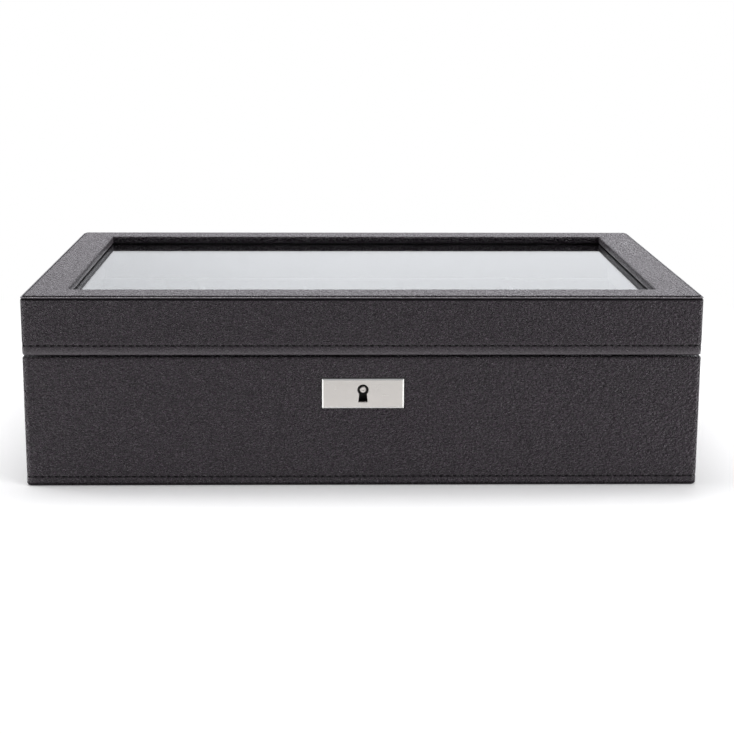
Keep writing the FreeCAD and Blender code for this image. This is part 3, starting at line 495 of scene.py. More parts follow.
def thread_finish(colour):
    """Twisted thread."""
    finish, graph = new_finish("waxed_thread")
    place = object_place(graph)
    twist = graph.add("ShaderNodeTexWave", {"wave_type": "BANDS", "bands_direction": "DIAGONAL"}, {
        "Vector": place, "Scale": 1400.0, "Distortion": 1.0})
    tone = blend(graph, twist, scaled(colour, 0.7), scaled(colour, 1.5))
    normal = raised(graph, twist, 0.00005, strength=0.6)
    shade(graph, {
        "Base Color": tone, "Roughness": 0.85 - twist * 0.1, "Normal": normal, "Specular IOR Level": 0.15})
    return finish


def suede_finish(name, colour, sheen):
    """Suede with brushed patches in its nap."""
    finish, graph = new_finish(name)
    place = object_place(graph)
    nap = speckle(graph, stretched(graph, place, (1.0, 2.2, 1.0)), 34.0, detail=5.0, roughness=0.6)
    fibre = speckle(graph, stretched(graph, place, (1.0, 1.0, 0.5)), 3600.0, roughness=0.65)
    brushed = spread(graph, nap, 0.34, 0.66)
    tone = blend(graph, brushed * 0.65 + fibre * 0.35, scaled(colour, 0.68), scaled(colour, 1.35))
    normal = raised(graph, fibre, 0.00018, strength=0.55)
    shade(graph, {
        "Base Color": tone, "Roughness": 0.98 - brushed * 0.1, "Normal": normal,
        "Sheen Weight": sheen, "Sheen Roughness": 0.5, "Specular IOR Level": 0.2})
    return finish


def metal_finish(name, colour, rough, along):
    """Plated metal with fine brush lines along one axis and a few cloudy marks."""
    finish, graph = new_finish(name)
    place = object_place(graph)
    lines = speckle(graph, stretched(graph, place, along), 4200.0, detail=2.0)
    cloud = speckle(graph, place, 160.0, detail=4.0)
    tone = blend(graph, cloud, scaled(colour, 0.93), scaled(colour, 1.05))
    gloss = rough + (lines - 0.5) * 0.12 + (cloud - 0.5) * 0.1
    normal = raised(graph, lines, 0.00002, strength=0.25)
    shade(graph, {"Base Color": tone, "Metallic": 1.0, "Roughness": gloss, "Normal": normal})
    return finish


def board_finish(name, colour):
    """Fibreboard with a fine fleck."""
    finish, graph = new_finish(name)
    place = object_place(graph)
    fleck = speckle(graph, place, 2400.0, detail=4.0, roughness=0.7)
    tone = blend(graph, fleck, scaled(colour, 0.75), scaled(colour, 1.2))
    normal = raised(graph, fleck, 0.0001, strength=0.4)
    shade(graph, {"Base Color": tone, "Roughness": 0.78 + fleck * 0.14, "Normal": normal})
    return finish


def felt_finish(colour):
    """Matted felt."""
    finish, graph = new_finish("black_felt")
    place = object_place(graph)
    matt = speckle(graph, place, 900.0, detail=6.0, roughness=0.7)
    tone = blend(graph, matt, scaled(colour, 0.6), scaled(colour, 1.7))
    normal = raised(graph, matt, 0.0004, strength=0.7)
    shade(graph, {
        "Base Color": tone, "Roughness": 0.9 + matt * 0.1, "Normal": normal,
        "Sheen Weight": 0.25, "Specular IOR Level": 0.2})
    return finish


def glass_finish(colour):
    """Clear float glass with a faint haze of dust and wiping."""
    finish, graph = new_finish("float_glass")
    place = object_place(graph)
    wipe = speckle(graph, stretched(graph, place, (1.0, 3.0, 1.0)), 9.0, detail=5.0, roughness=0.6)
    haze = spread(graph, wipe, 0.5, 0.75, 0.0, 0.035)
    shade(graph, {
        "Base Color": opaque(colour), "Roughness": haze, "IOR": 1.5, "Transmission Weight": 1.0,
        "Specular Tint": (0.95, 0.97, 1.0, 1.0)})
    return finish


def bumper_finish(name, colour):
    """Soft dark plastic, also used as the painted shade inside the needle holes."""
    finish, graph = new_finish(name)
    place = object_place(graph)
    dust = speckle(graph, place, 700.0, detail=4.0)
    tone = blend(graph, dust, scaled(colour, 0.8), scaled(colour, 1.4))
    shade(graph, {"Base Color": tone, "Roughness": 0.5 + dust * 0.2})
    return finish


FINISHES = {
    "leather": lambda colours: leather_finish(colours.leather),
    "thread": lambda colours: thread_finish(colours.thread),
    # Needle holes: dark beads that paint the shade inside each hole.
    "hole": lambda colours: bumper_finish("needle_hole", colours.hole),
    "lining": lambda colours: suede_finish("lining_suede", colours.lining, 0.12),
    "cushion": lambda colours: suede_finish("cushion_suede", colours.cushion, 0.35),
    "nickel": lambda colours: metal_finish("satin_nickel", colours.nickel, 0.3, (0.04, 1.0, 1.0)),
    # Bevel of the lock plate: polished nickel whose lighter colour is partly a painted highlight.
    "bright": lambda colours: metal_finish("bright_cut_nickel", colours.bright, 0.18, (1.0, 1.0, 1.0)),
    "steel": lambda colours: metal_finish("lock_steel", colours.steel, 0.42, (1.0, 1.0, 0.05)),
    "board": lambda colours: board_finish("fibreboard", colours.board),
    "stained": lambda colours: board_finish("blackened_board", colours.stained),
    "felt": lambda colours: felt_finish(colours.felt),
    "glass": lambda colours: glass_finish(colours.glass),
    "bumper": lambda colours: bumper_finish("soft_bumper", colours.bumper),
}
made_finishes = {}


def finish_of(name):
    """A finish, made when it is first asked for."""
    if name not in made_finishes:
        made_finishes[name] = FINISHES[name](bpy.context.scene.box_colours)
    return made_finishes[name]


def dress(finish, *nodes):
    """Give frame pieces a finish."""
    for node in nodes:
        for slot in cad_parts[node].material_slots:
            slot.material = finish_of(finish)


def new_piece(name, mesh, body, finish, replaced=()):
    """A finished mesh as a piece that rides on a body."""
    mesh.name = name
    if mesh.materials:
        mesh.materials[0] = finish_of(finish)
    else:
        mesh.materials.append(finish_of(finish))
    piece = bpy.data.objects.new(name, mesh)
    bpy.context.scene.collection.objects.link(piece)
    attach(piece, body)
    if replaced:
        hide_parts(*replaced)
    return piece


def plain_mesh(shape):
    """A mesh out of a bmesh."""
    mesh = bpy.data.meshes.new("shape")
    shape.to_mesh(mesh)
    shape.free()
    return mesh


def mesh_from(shape, smooth_angle=40.0):
    """A mesh out of a bmesh, smooth up to an angle."""
    mesh = plain_mesh(shape)
    mesh.shade_smooth()
    mesh.set_sharp_from_angle(angle=math.radians(smooth_angle))
    return mesh


def join_loops(shape, first, second):
    """Faces between two closed loops of corners, of which one may be a single corner."""
    count = max(len(first), len(second))
    for step in range(count):
        near = (step + 1) % count
        corners = [first[step % len(first)], first[near % len(first)]]
        corners += [second[near % len(second)], second[step % len(second)]]
        shape.faces.new(list(dict.fromkeys(corners)))


def loop_edges(shape, *loops):
    """The edges along closed loops of corners."""
    return [
        shape.edges.get((loop[step], loop[(step + 1) % len(loop)]))
        for loop in loops for step in range(len(loop))]


def box_shape(low, high):
    """A box between two corners."""
    shape = bmesh.new()
    bmesh.ops.create_cube(shape, size=1.0)
    for vert in shape.verts:
        vert.co = [lo + (hi - lo) * (value + 0.5) for lo, hi, value in zip(low, high, vert.co)]
    return shape


def evaluated(mesh, add_modifiers):
    """A plain mesh as its modifiers leave it."""
    carrier = bpy.data.objects.new("carrier", mesh)
    bpy.context.scene.collection.objects.link(carrier)
    add_modifiers(carrier)
    depsgraph = bpy.context.evaluated_depsgraph_get()
    result = bpy.data.meshes.new_from_object(carrier.evaluated_get(depsgraph), depsgraph=depsgraph)
    bpy.data.objects.remove(carrier)
    return result


def rounded_ring(half_x, half_y, radius, side_steps=20, corner_steps=8):
    """Points round a rectangle with rounded corners, anticlockwise."""
    centres = [Vector((x * (half_x - radius), y * (half_y - radius))) for x, y in QUARTERS]

    def on_corner(number, quarters):
        angle = quarters * math.pi / 2
        return centres[number % len(centres)] + radius * Vector((math.cos(angle), math.sin(angle)))

    points = []
    for quarter in range(len(centres)):
        points.extend(on_corner(quarter, quarter + step / corner_steps) for step in range(corner_steps + 1))
        start = points[-1]
        target = on_corner(quarter + 1, quarter + 1)
        points.extend(start.lerp(target, step / side_steps) for step in range(1, side_steps))
    return points


def eased(corners, steps=5):
    """A closed outline of corners with its roundings put in, as spots that carry painted shade and stretch.
    """
    outline = []
    for number, corner in enumerate(corners):
        place = Vector(corner[:2])
        if corner.radius <= 0.0:
            outline.append(Spot(*place, corner.shade, 0.0))
            continue
        before = (Vector(corners[number - 1][:2]) - place).normalized()
        after = (Vector(corners[(number + 1) % len(corners)][:2]) - place).normalized()
        half = before.angle(after) / 2
        centre = place + (before + after).normalized() * (corner.radius / math.sin(half))
        start = place + before * (corner.radius / math.tan(half)) - centre
        end = place + after * (corner.radius / math.tan(half)) - centre
        sweep = start.angle(end)
        for step in range(steps + 1):
            share = step / steps
            turned = start * math.sin((1 - share) * sweep) + end * math.sin(share * sweep)
            spot = centre + turned / math.sin(sweep)
            # The painted shade ramps from the corner before to this corner along the rounding.
            painted_shade = corners[number - 1].shade * (1 - share) + corner.shade * share
            outline.append(Spot(*spot, painted_shade, corner.stretch))
    return with_flats(outline)


def with_flats(outline, near=0.0015):
    """The outline with a spot put in near each end of its long runs, where the leather lies flat again."""
    result = []
    for number, spot in enumerate(outline):
        following = outline[(number + 1) % len(outline)]
        start, end = Vector(spot[:2]), Vector(following[:2])
        length = (end - start).length
        result.append(spot)
        if length > 3 * near:
            for share in (near / length, 1 - near / length):
                result.append(Spot(*start.lerp(end, share), 0.0, 0.0))
    return result


def swept_cover(half_x, half_y, corner_radius, least_radius, outline):
    """A closed skin whose outline of spots runs round a rounded rectangle."""
    shape = bmesh.new()
    # Each point carries its painted shade and its stretch, which the leather finish reads.
    shade_layer = shape.verts.layers.float.new("shade")
    stretch_layer = shape.verts.layers.float.new("stretch")
    rings = []
    for spot in outline:
        radius = max(corner_radius - spot.inset, least_radius)
        ring = []
        for point in rounded_ring(half_x - spot.inset, half_y - spot.inset, radius):
            vert = shape.verts.new((point.x, point.y, spot.level))
            vert[shade_layer] = spot.shade
            vert[stretch_layer] = spot.stretch
            ring.append(vert)
        rings.append(ring)
    for ring, following in zip(rings, rings[1:] + rings[:1]):
        join_loops(shape, ring, following)
    bmesh.ops.recalc_face_normals(shape, faces=shape.faces)
    return mesh_from(shape)


def let_in(mesh, pockets):
    """A mesh with boxes cut out of it."""
    cutters = [bpy.data.objects.new("pocket", plain_mesh(box_shape(low, high))) for low, high in pockets]

    def cut(carrier):
        for cutter in cutters:
            bpy.context.scene.collection.objects.link(cutter)
            modifier = carrier.modifiers.new("pocket", "BOOLEAN")
            modifier.operation = "DIFFERENCE"
            modifier.solver = "MANIFOLD"
            modifier.object = cutter

    result = evaluated(mesh, cut)
    for cutter in cutters:
        bpy.data.objects.remove(cutter)
    return result


def stitch_channel(level, sizes):
    """Outline corners of the pressed channel for a row of stitches, from its top down, with a little painted
    shade at its bottom.
    """
    soft = sizes.channel * 0.4
    return [
        Corner(0.0, level + sizes.channel, radius=soft, stretch=0.3),
        Corner(sizes.depth, level, radius=soft, shade=0.1, stretch=0.3),
        Corner(0.0, level - sizes.channel, radius=soft, stretch=0.3)]


class WATCHBOX_OT_base_cover(bpy.types.Operator):
    """Wrap the base in leather that turns over the rim and under the foot"""

    bl_idname = "watchbox.base_cover"
    bl_label = "Base cover"

    def execute(self, context):
        sizes, stitches = context.scene.box_cover, context.scene.box_stitches
        low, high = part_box("base_leather")
        rim_inset = high.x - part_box("base_right_wall")[0].x
        skin = sizes.leather
        rim = high.z - sizes.rim_drop
        # The shade values paint shade on the rim's outer edge in the gap under the lid, on the foot and under
        # the base.
        outline = eased([
            Corner(rim_inset, high.z - skin),
            Corner(rim_inset, rim, radius=skin * 0.3),
            Corner(sizes.rim * 1.5, rim, shade=0.5),
            Corner(0.0, rim, radius=sizes.rim, shade=0.1, stretch=0.0),
            *stitch_channel(low.z + stitches.base_row, stitches),
            Corner(0.0, sizes.sole + sizes.foot * 1.4),
            Corner(0.0, sizes.sole + sizes.foot * 1.02, shade=0.6),
            Corner(0.0, sizes.sole, radius=sizes.foot, shade=1.0, stretch=0.0),
            Corner(sizes.sole_width, sizes.sole, shade=1.0),
            Corner(sizes.sole_width + skin, low.z, shade=1.0),
            Corner(sizes.turn_under, low.z, radius=skin * 0.4),
            Corner(sizes.turn_under, low.z + skin),
            Corner(skin, low.z + skin),
            Corner(skin, high.z - skin),
        ])
        cover = swept_cover(high.x, high.y, sizes.corner, skin * 0.4, outline)
        pockets = []
        for side in SIDES:
            leaf_low, leaf_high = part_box(f"hinge_base_leaf_{side}")
            pockets.append((
                (leaf_low.x - sizes.fit, leaf_low.y - sizes.fit, high.z - sizes.leaf),
                (leaf_high.x + sizes.fit, leaf_high.y, leaf_high.z)))
        plate_low, plate_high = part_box("lock_plate")
        pockets.append((
            (plate_low.x - sizes.plate_gap, plate_low.y - skin, plate_low.z - sizes.plate_gap),
            (plate_high.x + sizes.plate_gap, plate_high.y, plate_high.z + sizes.plate_gap)))
        case_low, case_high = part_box("lock_case")
        pockets.append((
            (case_low.x - sizes.fit, case_low.y - sizes.fit, high.z - skin * 1.5),
            (case_high.x + sizes.fit, case_high.y + skin, high.z + skin)))
        cover = let_in(cover, pockets)
        new_piece("base_leather_cover", cover, "base", "leather", ["base_leather"])
        return {"FINISHED"}


class WATCHBOX_OT_lid_covers(bpy.types.Operator):
    """Cover the lid: leather round its sides, and a top sheet turned down all round and into the window"""

    bl_idname = "watchbox.lid_covers"
    bl_label = "Lid covers"

    def execute(self, context):
        sizes, stitches = context.scene.box_cover, context.scene.box_stitches
        skin = sizes.leather
        low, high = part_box("lid_side_leather")
        wall_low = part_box("lid_right_wall")[0]
        half_x, half_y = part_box("base_leather")[1].x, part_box("base_leather")[1].y
        mouth = half_x - wall_low.x
        # The shade values paint shade in the open seam under the rolled edge and on the lower edge at the gap
        # over the base.
        sides = eased([
            Corner(mouth, low.z + skin),
            Corner(skin, low.z + skin),
            Corner(skin, high.z - sizes.seam, shade=1.0),
            Corner(0.0, high.z - sizes.seam, radius=skin * 0.3, shade=0.6),
            Corner(0.0, high.z - sizes.seam - skin * 0.5),
            *stitch_channel(low.z + stitches.lid_row, stitches),
            Corner(0.0, low.z, radius=sizes.lid_edge, shade=0.9),
            Corner(mouth, low.z, radius=skin * 0.4),
        ])
        pockets = []
        for side in SIDES:
            leaf_low, leaf_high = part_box(f"hinge_lid_leaf_{side}")
            pockets.append((
                (leaf_low.x - sizes.fit, leaf_low.y - sizes.fit, leaf_low.z),
                (leaf_high.x + sizes.fit, leaf_high.y, low.z + sizes.leaf)))
        catch_low, catch_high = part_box("lid_catch")
        pockets.append((
            (catch_low.x - sizes.fit, catch_low.y - sizes.fit, low.z - skin),
            (catch_high.x + sizes.fit, catch_high.y + sizes.fit, catch_high.z)))
        cover = let_in(swept_cover(half_x, half_y, sizes.corner, skin * 0.4, sides), pockets)
        new_piece("lid_side_cover", cover, "lid", "leather", ["lid_side_leather"])

        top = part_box("lid_top_leather")[1].z
        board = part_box("lid_top_frame")[1].z
        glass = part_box("lid_glass")[1].z + sizes.reveal
        ledge = top - sizes.bead_drop
        lip = ledge - sizes.bead_height
        trough = (ledge + board) / 2
        bead, inner, window = sizes.bead, sizes.bead + sizes.crease, sizes.border
        # The shade values paint shade under the rolled edge, in the crease inside it, and down the window's
        # edge to the glass.
        outline = eased([
            Corner(skin, lip, shade=1.0),
            Corner(bead * 0.5, lip, shade=1.0),
            Corner(0.0, lip, radius=bead * 0.15, shade=0.2),
            Corner(0.0, ledge, radius=bead * 0.75),
            Corner(bead, ledge, radius=bead * 0.1),
            Corner(bead * 1.1, trough, shade=1.0),
            Corner(inner * 0.9, trough, shade=1.0),
            Corner(inner, top - sizes.bead_drop * 0.7, shade=0.9),
            Corner(inner, top, radius=sizes.bead_drop * 0.6, shade=0.2, stretch=0.2),
            Corner(window, top, radius=sizes.window_edge, shade=0.3, stretch=0.2),
            Corner(window, top - sizes.window_edge * 1.5, shade=0.3),
            Corner(window, glass, radius=skin * 0.3, shade=0.35),
            Corner(window - skin, glass, shade=1.0),
            Corner(window - skin, board),
            Corner(skin, board),
        ])
        sheet = swept_cover(half_x, half_y, sizes.corner, skin * 0.5, outline)
        new_piece("lid_top_cover", sheet, "lid", "leather", ["lid_top_leather"])
        return {"FINISHED"}


def node_tree(name, inputs):
    """An empty geometry tree with named inputs, and its group input."""
    tree = bpy.data.node_groups.new(name, "GeometryNodeTree")
    for label, kind in [("Geometry", "NodeSocketGeometry"), *inputs]:
        tree.interface.new_socket(label, in_out="INPUT", socket_type=kind)
    tree.interface.new_socket("Geometry", in_out="OUTPUT", socket_type="NodeSocketGeometry")
    graph = Graph(tree)
    return graph, graph.add("NodeGroupInput")


def close_tree(graph, instances, material):
    """The end of a tree: instances made real, with their material."""
    real = graph.add("GeometryNodeRealizeInstances", {}, {"Geometry": instances})
    dressed = graph.add("GeometryNodeSetMaterial", {}, {"Geometry": real, "Material": material})
    graph.add("NodeGroupOutput", {}, {"Geometry": dressed})
    return graph.tree


def grown(mesh, tree, values):
    """The plain mesh that a geometry tree makes of a mesh."""

    def grow(carrier):
        modifier = carrier.modifiers.new("grow", "NODES")
        modifier.node_group = tree
        for item in tree.interface.items_tree:
            if item.in_out == "INPUT" and item.name in values:
                modifier[item.identifier] = values[item.name]

    return evaluated(mesh, grow)


def stitch_tree():
    """Rounded stitches along a path, each slanted a little."""
    graph, given = node_tree("stitch_row", [
        ("Pitch", "NodeSocketFloat"), ("Length", "NodeSocketFloat"),
        ("Width", "NodeSocketFloat"), ("Slant", "NodeSocketFloat"), ("Material", "NodeSocketMaterial")])
    path = graph.add("GeometryNodeMeshToCurve", {}, {"Mesh": given})
    points = graph.add("GeometryNodeResampleCurve", {"mode": "LENGTH"}, {
        "Curve": path, "Length": given.beside("Pitch")})
    tangent = graph.add("GeometryNodeInputTangent")
    along = graph.add("FunctionNodeAlignRotationToVector", {"axis": "X"}, {"Vector": tangent})
    lean = graph.add("ShaderNodeCombineXYZ", {}, {"Y": given.beside("Slant")})
    turn = graph.add("FunctionNodeRotateRotation", {"rotation_space": "LOCAL"}, {0: along, 1: lean})
    bead = graph.add("GeometryNodeMeshUVSphere", {}, {"Segments": 8, "Rings": 6, "Radius": 0.5})
    size = graph.add("ShaderNodeCombineXYZ", {}, {
        "X": given.beside("Length"), "Y": given.beside("Width"), "Z": given.beside("Width")})
    set_out = graph.add("GeometryNodeInstanceOnPoints", {}, {
        "Points": points, "Instance": bead, "Rotation": turn, "Scale": size})
    return close_tree(graph, set_out, given.beside("Material"))


def path_mesh(points):
    """A closed line through points."""
    mesh = bpy.data.meshes.new("path")
    mesh.from_pydata(points, [(step, (step + 1) % len(points)) for step in range(len(points))], [])
    return mesh


class WATCHBOX_OT_stitches(bpy.types.Operator):
    """Sew a row of stitches round the base and one round the lid"""

    bl_idname = "watchbox.stitches"
    bl_label = "Stitches"

    def execute(self, context):
        sizes, cover = context.scene.box_stitches, context.scene.box_cover
        tree = stitch_tree()
        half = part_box("base_leather")[1]
        rows = [
            ("base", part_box("base_leather")[0].z + sizes.base_row),
            ("lid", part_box("lid_side_leather")[0].z + sizes.lid_row)]
        # The stitches start half a pitch back, so that each lies between two needle holes
        # The needle holes are dark beads, painted shade inside each hole.
        kinds = [
            ("stitches", "thread", sizes.length, sizes.thread, sizes.slant, sizes.pitch / 2),
            ("needle_holes", "hole", sizes.hole, sizes.hole, 0.0, 0.0)]
        for body, level in rows:
            for kind, finish, length, width, slant, back in kinds:
                sunk = width / 2
                ring = rounded_ring(half.x - sunk, half.y - sunk, cover.corner - sunk)
                if back:
                    ring.insert(0, ring[0] - Vector((0.0, back)))
                path = path_mesh([(point.x, point.y, level) for point in ring])
                mesh = grown(path, tree, {
                    "Pitch": sizes.pitch, "Length": length, "Width": width, "Slant": slant,
                    "Material": finish_of(finish)})
                for vert in mesh.vertices:
                    vert.co.x = min(max(vert.co.x, -half.x), half.x)
                    vert.co.y = min(max(vert.co.y, -half.y), half.y)
                mesh.shade_smooth()
                new_piece(f"{body}_{kind}", mesh, body, finish)
        return {"FINISHED"}


def screw_mesh(sizes, upwards):
    """A countersunk screw with a cross recess, its head flush with the origin."""
    shape = bmesh.new()
    count = 24
    turns = [(math.cos(step * math.tau / count), math.sin(step * math.tau / count)) for step in range(count)]

    def ring(radius, height):
        return [shape.verts.new((radius * x, radius * y, height)) for x, y in turns]

    slope = sizes.head - sizes.shank
    edge = ring(sizes.head, -sizes.head * 0.05)
    top = ring(sizes.head * 0.95, 0.0)
    rings = [top, edge, ring(sizes.shank, -slope * 1.05), ring(sizes.shank, -sizes.length * 0.8)]
    tip = [shape.verts.new((0.0, 0.0, -sizes.length))]
    for upper, lower in zip(rings, rings[1:] + [tip]):
        join_loops(shape, lower, upper)
    arm, half = sizes.recess, sizes.recess_width
    cross = [(arm, -half), (arm, half), (half, half), (half, arm), (-half, arm), (-half, half),
             (-arm, half), (-arm, -half), (-half, -half), (-half, -arm), (half, -arm), (half, -half)]
    lip = [shape.verts.new((x, y, 0.0)) for x, y in cross]
    pit = [shape.verts.new((x * 0.7, y * 0.8, -sizes.recess_depth)) for x, y in cross]
    join_loops(shape, lip, pit)
    shape.faces.new(pit)
    bmesh.ops.triangle_fill(shape, edges=loop_edges(shape, top, lip), use_beauty=True)
    bmesh.ops.recalc_face_normals(shape, faces=shape.faces)
    if not upwards:
        half_turn = Matrix.Rotation(math.pi, 3, "X")
        bmesh.ops.rotate(shape, verts=shape.verts, cent=(0.0, 0.0, 0.0), matrix=half_turn)
    return mesh_from(shape, smooth_angle=35.0)


def screw_tree():
    """A screw on each point, turned at random."""
    graph, given = node_tree("screws", [
        ("Screw", "NodeSocketObject"), ("Seed", "NodeSocketInt"), ("Material", "NodeSocketMaterial")])
    screw = graph.add("GeometryNodeObjectInfo", {}, {"Object": given.beside("Screw")}, "Geometry")
    points = graph.add("GeometryNodeMeshToPoints", {}, {"Mesh": given})
    turn = graph.add("FunctionNodeRandomValue", {"data_type": "FLOAT_VECTOR"}, {
        0: (0.0, 0.0, 0.0), 1: (0.0, 0.0, math.tau), "Seed": given.beside("Seed")})
    set_out = graph.add("GeometryNodeInstanceOnPoints", {}, {
        "Points": points, "Instance": screw, "Rotation": turn})
    return close_tree(graph, set_out, given.beside("Material"))


class WATCHBOX_OT_hinges(bpy.types.Operator):
    """Finish the two hinges, and drive the screws of the hinges and the catch"""

    bl_idname = "watchbox.hinges"
    bl_label = "Hinges and screws"

    def execute(self, context):
        sizes = context.scene.box_screws
        for side in SIDES:
            dress("nickel", f"hinge_base_leaf_{side}", f"hinge_lid_leaf_{side}", f"hinge_pin_{side}")
        dress("steel", "lock_screws")
        tree = screw_tree()
        groups = (
            ("hinge_base_screws", "base", True),
            ("hinge_lid_screws", "lid", False),
            ("catch_screws", "lid", False))
        for number, (node, body, upwards) in enumerate(groups):
            screw = bpy.data.objects.new("screw", screw_mesh(sizes, upwards))
            low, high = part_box(node)
            level = high.z if upwards else low.z
            middle = (low.y + high.y) / 2
            reach = high.x - (high.y - low.y) / 2
            inner = reach - 2 * sizes.spacing
            spots = [-reach, reach] if node == "catch_screws" else [-reach, -inner, inner, reach]
            mesh = bpy.data.meshes.new("spots")
            mesh.from_pydata([(spot, middle, level) for spot in spots], [], [])
            result = grown(mesh, tree, {"Screw": screw, "Seed": number, "Material": finish_of("nickel")})
            bpy.data.objects.remove(screw)
            new_piece(f"{node}_driven", result, body, "nickel", [node])
        return {"FINISHED"}


def turned_mesh(outline, place, sides=32):
    """A lathe-turned solid of (radius, distance back) points along Y, with its front end at the place."""
    shape = bmesh.new()
    rings = []
    for radius, back in outline:
        if radius <= 0.0:
            rings.append([shape.verts.new((place.x, place.y + back, place.z))])
            continue
        ring = []
        for number in range(sides):
            angle = math.tau * number / sides
            x = place.x + radius * math.cos(angle)
            z = place.z + radius * math.sin(angle)
            ring.append(shape.verts.new((x, place.y + back, z)))
        rings.append(ring)
    for ring, following in zip(rings, rings[1:]):
        join_loops(shape, ring, following)
    bmesh.ops.recalc_face_normals(shape, faces=shape.faces)
    return mesh_from(shape, smooth_angle=50.0)


def keyhole_line(centre, radius, waist, foot, bottom, steps=20):
    """Points of a keyhole, (x, z): a round with a slot that widens downwards."""
    start = math.asin(waist / radius)
    points = []
    for step in range(steps + 1):
        angle = -math.pi / 2 + start + (math.tau - 2 * start) * step / steps
        points.append((radius * math.cos(angle), centre + radius * math.sin(angle)))
    return points + [(-foot, bottom), (foot, bottom)]


def plate_mesh(low, high, bevel, dip, hole):
    """A flat plate with a keyhole, and a shallow bevel all round in its second material."""
    shape = bmesh.new()

    def loop(points, depth):
        return [shape.verts.new((x, depth, z)) for x, z in points]

    def rectangle(inset):
        left, right = low.x + inset, high.x - inset
        foot, top = low.z + inset, high.z - inset
        return [(left, foot), (right, foot), (right, top), (left, top)]

    face = loop(rectangle(bevel), low.y)
    edge = loop(rectangle(0.0), low.y + dip)
    back = loop(rectangle(0.0), high.y)
    middle_x = (hole[0][0] + hole[-3][0]) / 2
    middle_z = sum(z for _, z in hole) / len(hole)
    eased_hole = [(middle_x + (x - middle_x) * 1.05, middle_z + (z - middle_z) * 1.05) for x, z in hole]
    lip = loop(eased_hole, low.y)
    throat = loop(hole, low.y + dip)
    end = loop(hole, high.y)
    join_loops(shape, face, edge)
    for polygon in shape.faces:
        polygon.material_index = 1
    for first, second in ((edge, back), (lip, throat), (throat, end)):
        join_loops(shape, first, second)
    for outer, inner in ((face, lip), (back, end)):
        bmesh.ops.triangle_fill(shape, edges=loop_edges(shape, outer, inner), use_beauty=True)
    bmesh.ops.recalc_face_normals(shape, faces=shape.faces)
    return mesh_from(shape, smooth_angle=8.0)


class WATCHBOX_OT_lock(bpy.types.Operator):
    """Finish the lock: its plate, pin, case and bolt, and the catch under the lid"""

    bl_idname = "watchbox.lock"
    bl_label = "Lock"

    def execute(self, context):
        sizes = context.scene.box_lock
        low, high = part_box("lock_plate")
        hole = keyhole_line(
            sizes.hole_height, sizes.hole_radius, sizes.slot_top / 2, sizes.slot_bottom / 2, sizes.slot_foot)
        shrink = Vector((sizes.inset, 0.0, sizes.inset))
        plate = plate_mesh(low + shrink, high - shrink, sizes.bevel, sizes.bevel_dip, hole)
        piece = new_piece("lock_plate_bevelled", plate, "base", "nickel", ["lock_plate"])
        # The bevel's lighter nickel is partly a painted highlight.
        piece.data.materials.append(finish_of("bright"))
        dress("nickel", "lid_catch")
        low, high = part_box("lock_pin")
        radius, length = (high.x - low.x) / 2, high.y - low.y
        # The hollow and the rounded nose of the pin, in shares of its radius
        nose = [(0.0, 0.3), (0.26, 0.3), (0.34, 0.06), (0.62, 0.0), (0.86, 0.07), (0.96, 0.24), (1.0, 0.5)]
        outline = [(radius * wide, radius * back) for wide, back in nose] + [(radius, length), (0.0, length)]
        pin = turned_mesh(outline, Vector(((low.x + high.x) / 2, low.y, (low.z + high.z) / 2)))
        new_piece("lock_pin_turned", pin, "base", "nickel", ["lock_pin"])
        dress("steel", "lock_case", "lock_cap", "lock_bolt", "lock_spring")
        dress("bumper", "lid_bumpers")
        return {"FINISHED"}


class WATCHBOX_OT_glass(bpy.types.Operator):
    """Glaze the lid"""

    bl_idname = "watchbox.glass"
    bl_label = "Glass"

    def execute(self, context):
        dress("glass", "lid_glass")
        return {"FINISHED"}


def soft_board(low, high, edge, steps=4):
    """A board with rounded edges, wrapped in cloth."""
    shape = box_shape(low, high)
    bmesh.ops.bevel(shape, geom=list(shape.edges), offset=edge, segments=steps, profile=0.5, affect="EDGES")
    bmesh.ops.recalc_face_normals(shape, faces=shape.faces)
    return mesh_from(shape)


class WATCHBOX_OT_lining(bpy.types.Operator):
    """Line the inside with suede, wrap the dividers, and finish the boards and the felt"""

    bl_idname = "watchbox.lining"
    bl_label = "Lining"

    def execute(self, context):
        edge = context.scene.box_cushions.divider_edge
        dress("lining", "floor_lining")
        for node in ["divider_long"] + [f"divider_cross_{number}" for number in range(1, 5)]:
            board = soft_board(*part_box(node), edge)
            new_piece(f"{node}_wrapped", board, "base", "lining", [node])
        for side in EDGES:
            for node, body in ((f"base_lining_{side}", "base"), (f"glass_retainer_{side}", "lid")):
                board = soft_board(*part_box(node), edge * 0.45, steps=3)
                new_piece(f"{node}_wrapped", board, body, "lining", [node])
            dress("stained", f"base_{side}_wall", f"lid_{side}_wall")
        dress("board", "base_floor")
        dress("stained", "lid_top_frame")
        dress("felt", "base_felt")
        return {"FINISHED"}


def cushion_start(sizes):
    """The sewn cover of a cushion before it is stuffed, at the origin, as a fine mesh."""
    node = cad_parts[CUSHIONS[0]]
    low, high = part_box(CUSHIONS[0])
    centre = (low + high) / 2
    half = (high - low) / 2
    shape = bmesh.new()
    shape.from_mesh(node.data)
    bmesh.ops.remove_doubles(shape, verts=shape.verts, dist=0.00002)
    for vert in shape.verts:
        place = vert.co - centre
        vert.co = [value * (1 - sizes.inset / reach) for value, reach in zip(place, half)]
        vert.co *= sizes.enlarge

    def remesh(carrier):
        modifier = carrier.modifiers.new("remesh", "REMESH")
        modifier.mode = "VOXEL"
        modifier.voxel_size = sizes.voxel * sizes.enlarge

    return evaluated(plain_mesh(shape), remesh), half


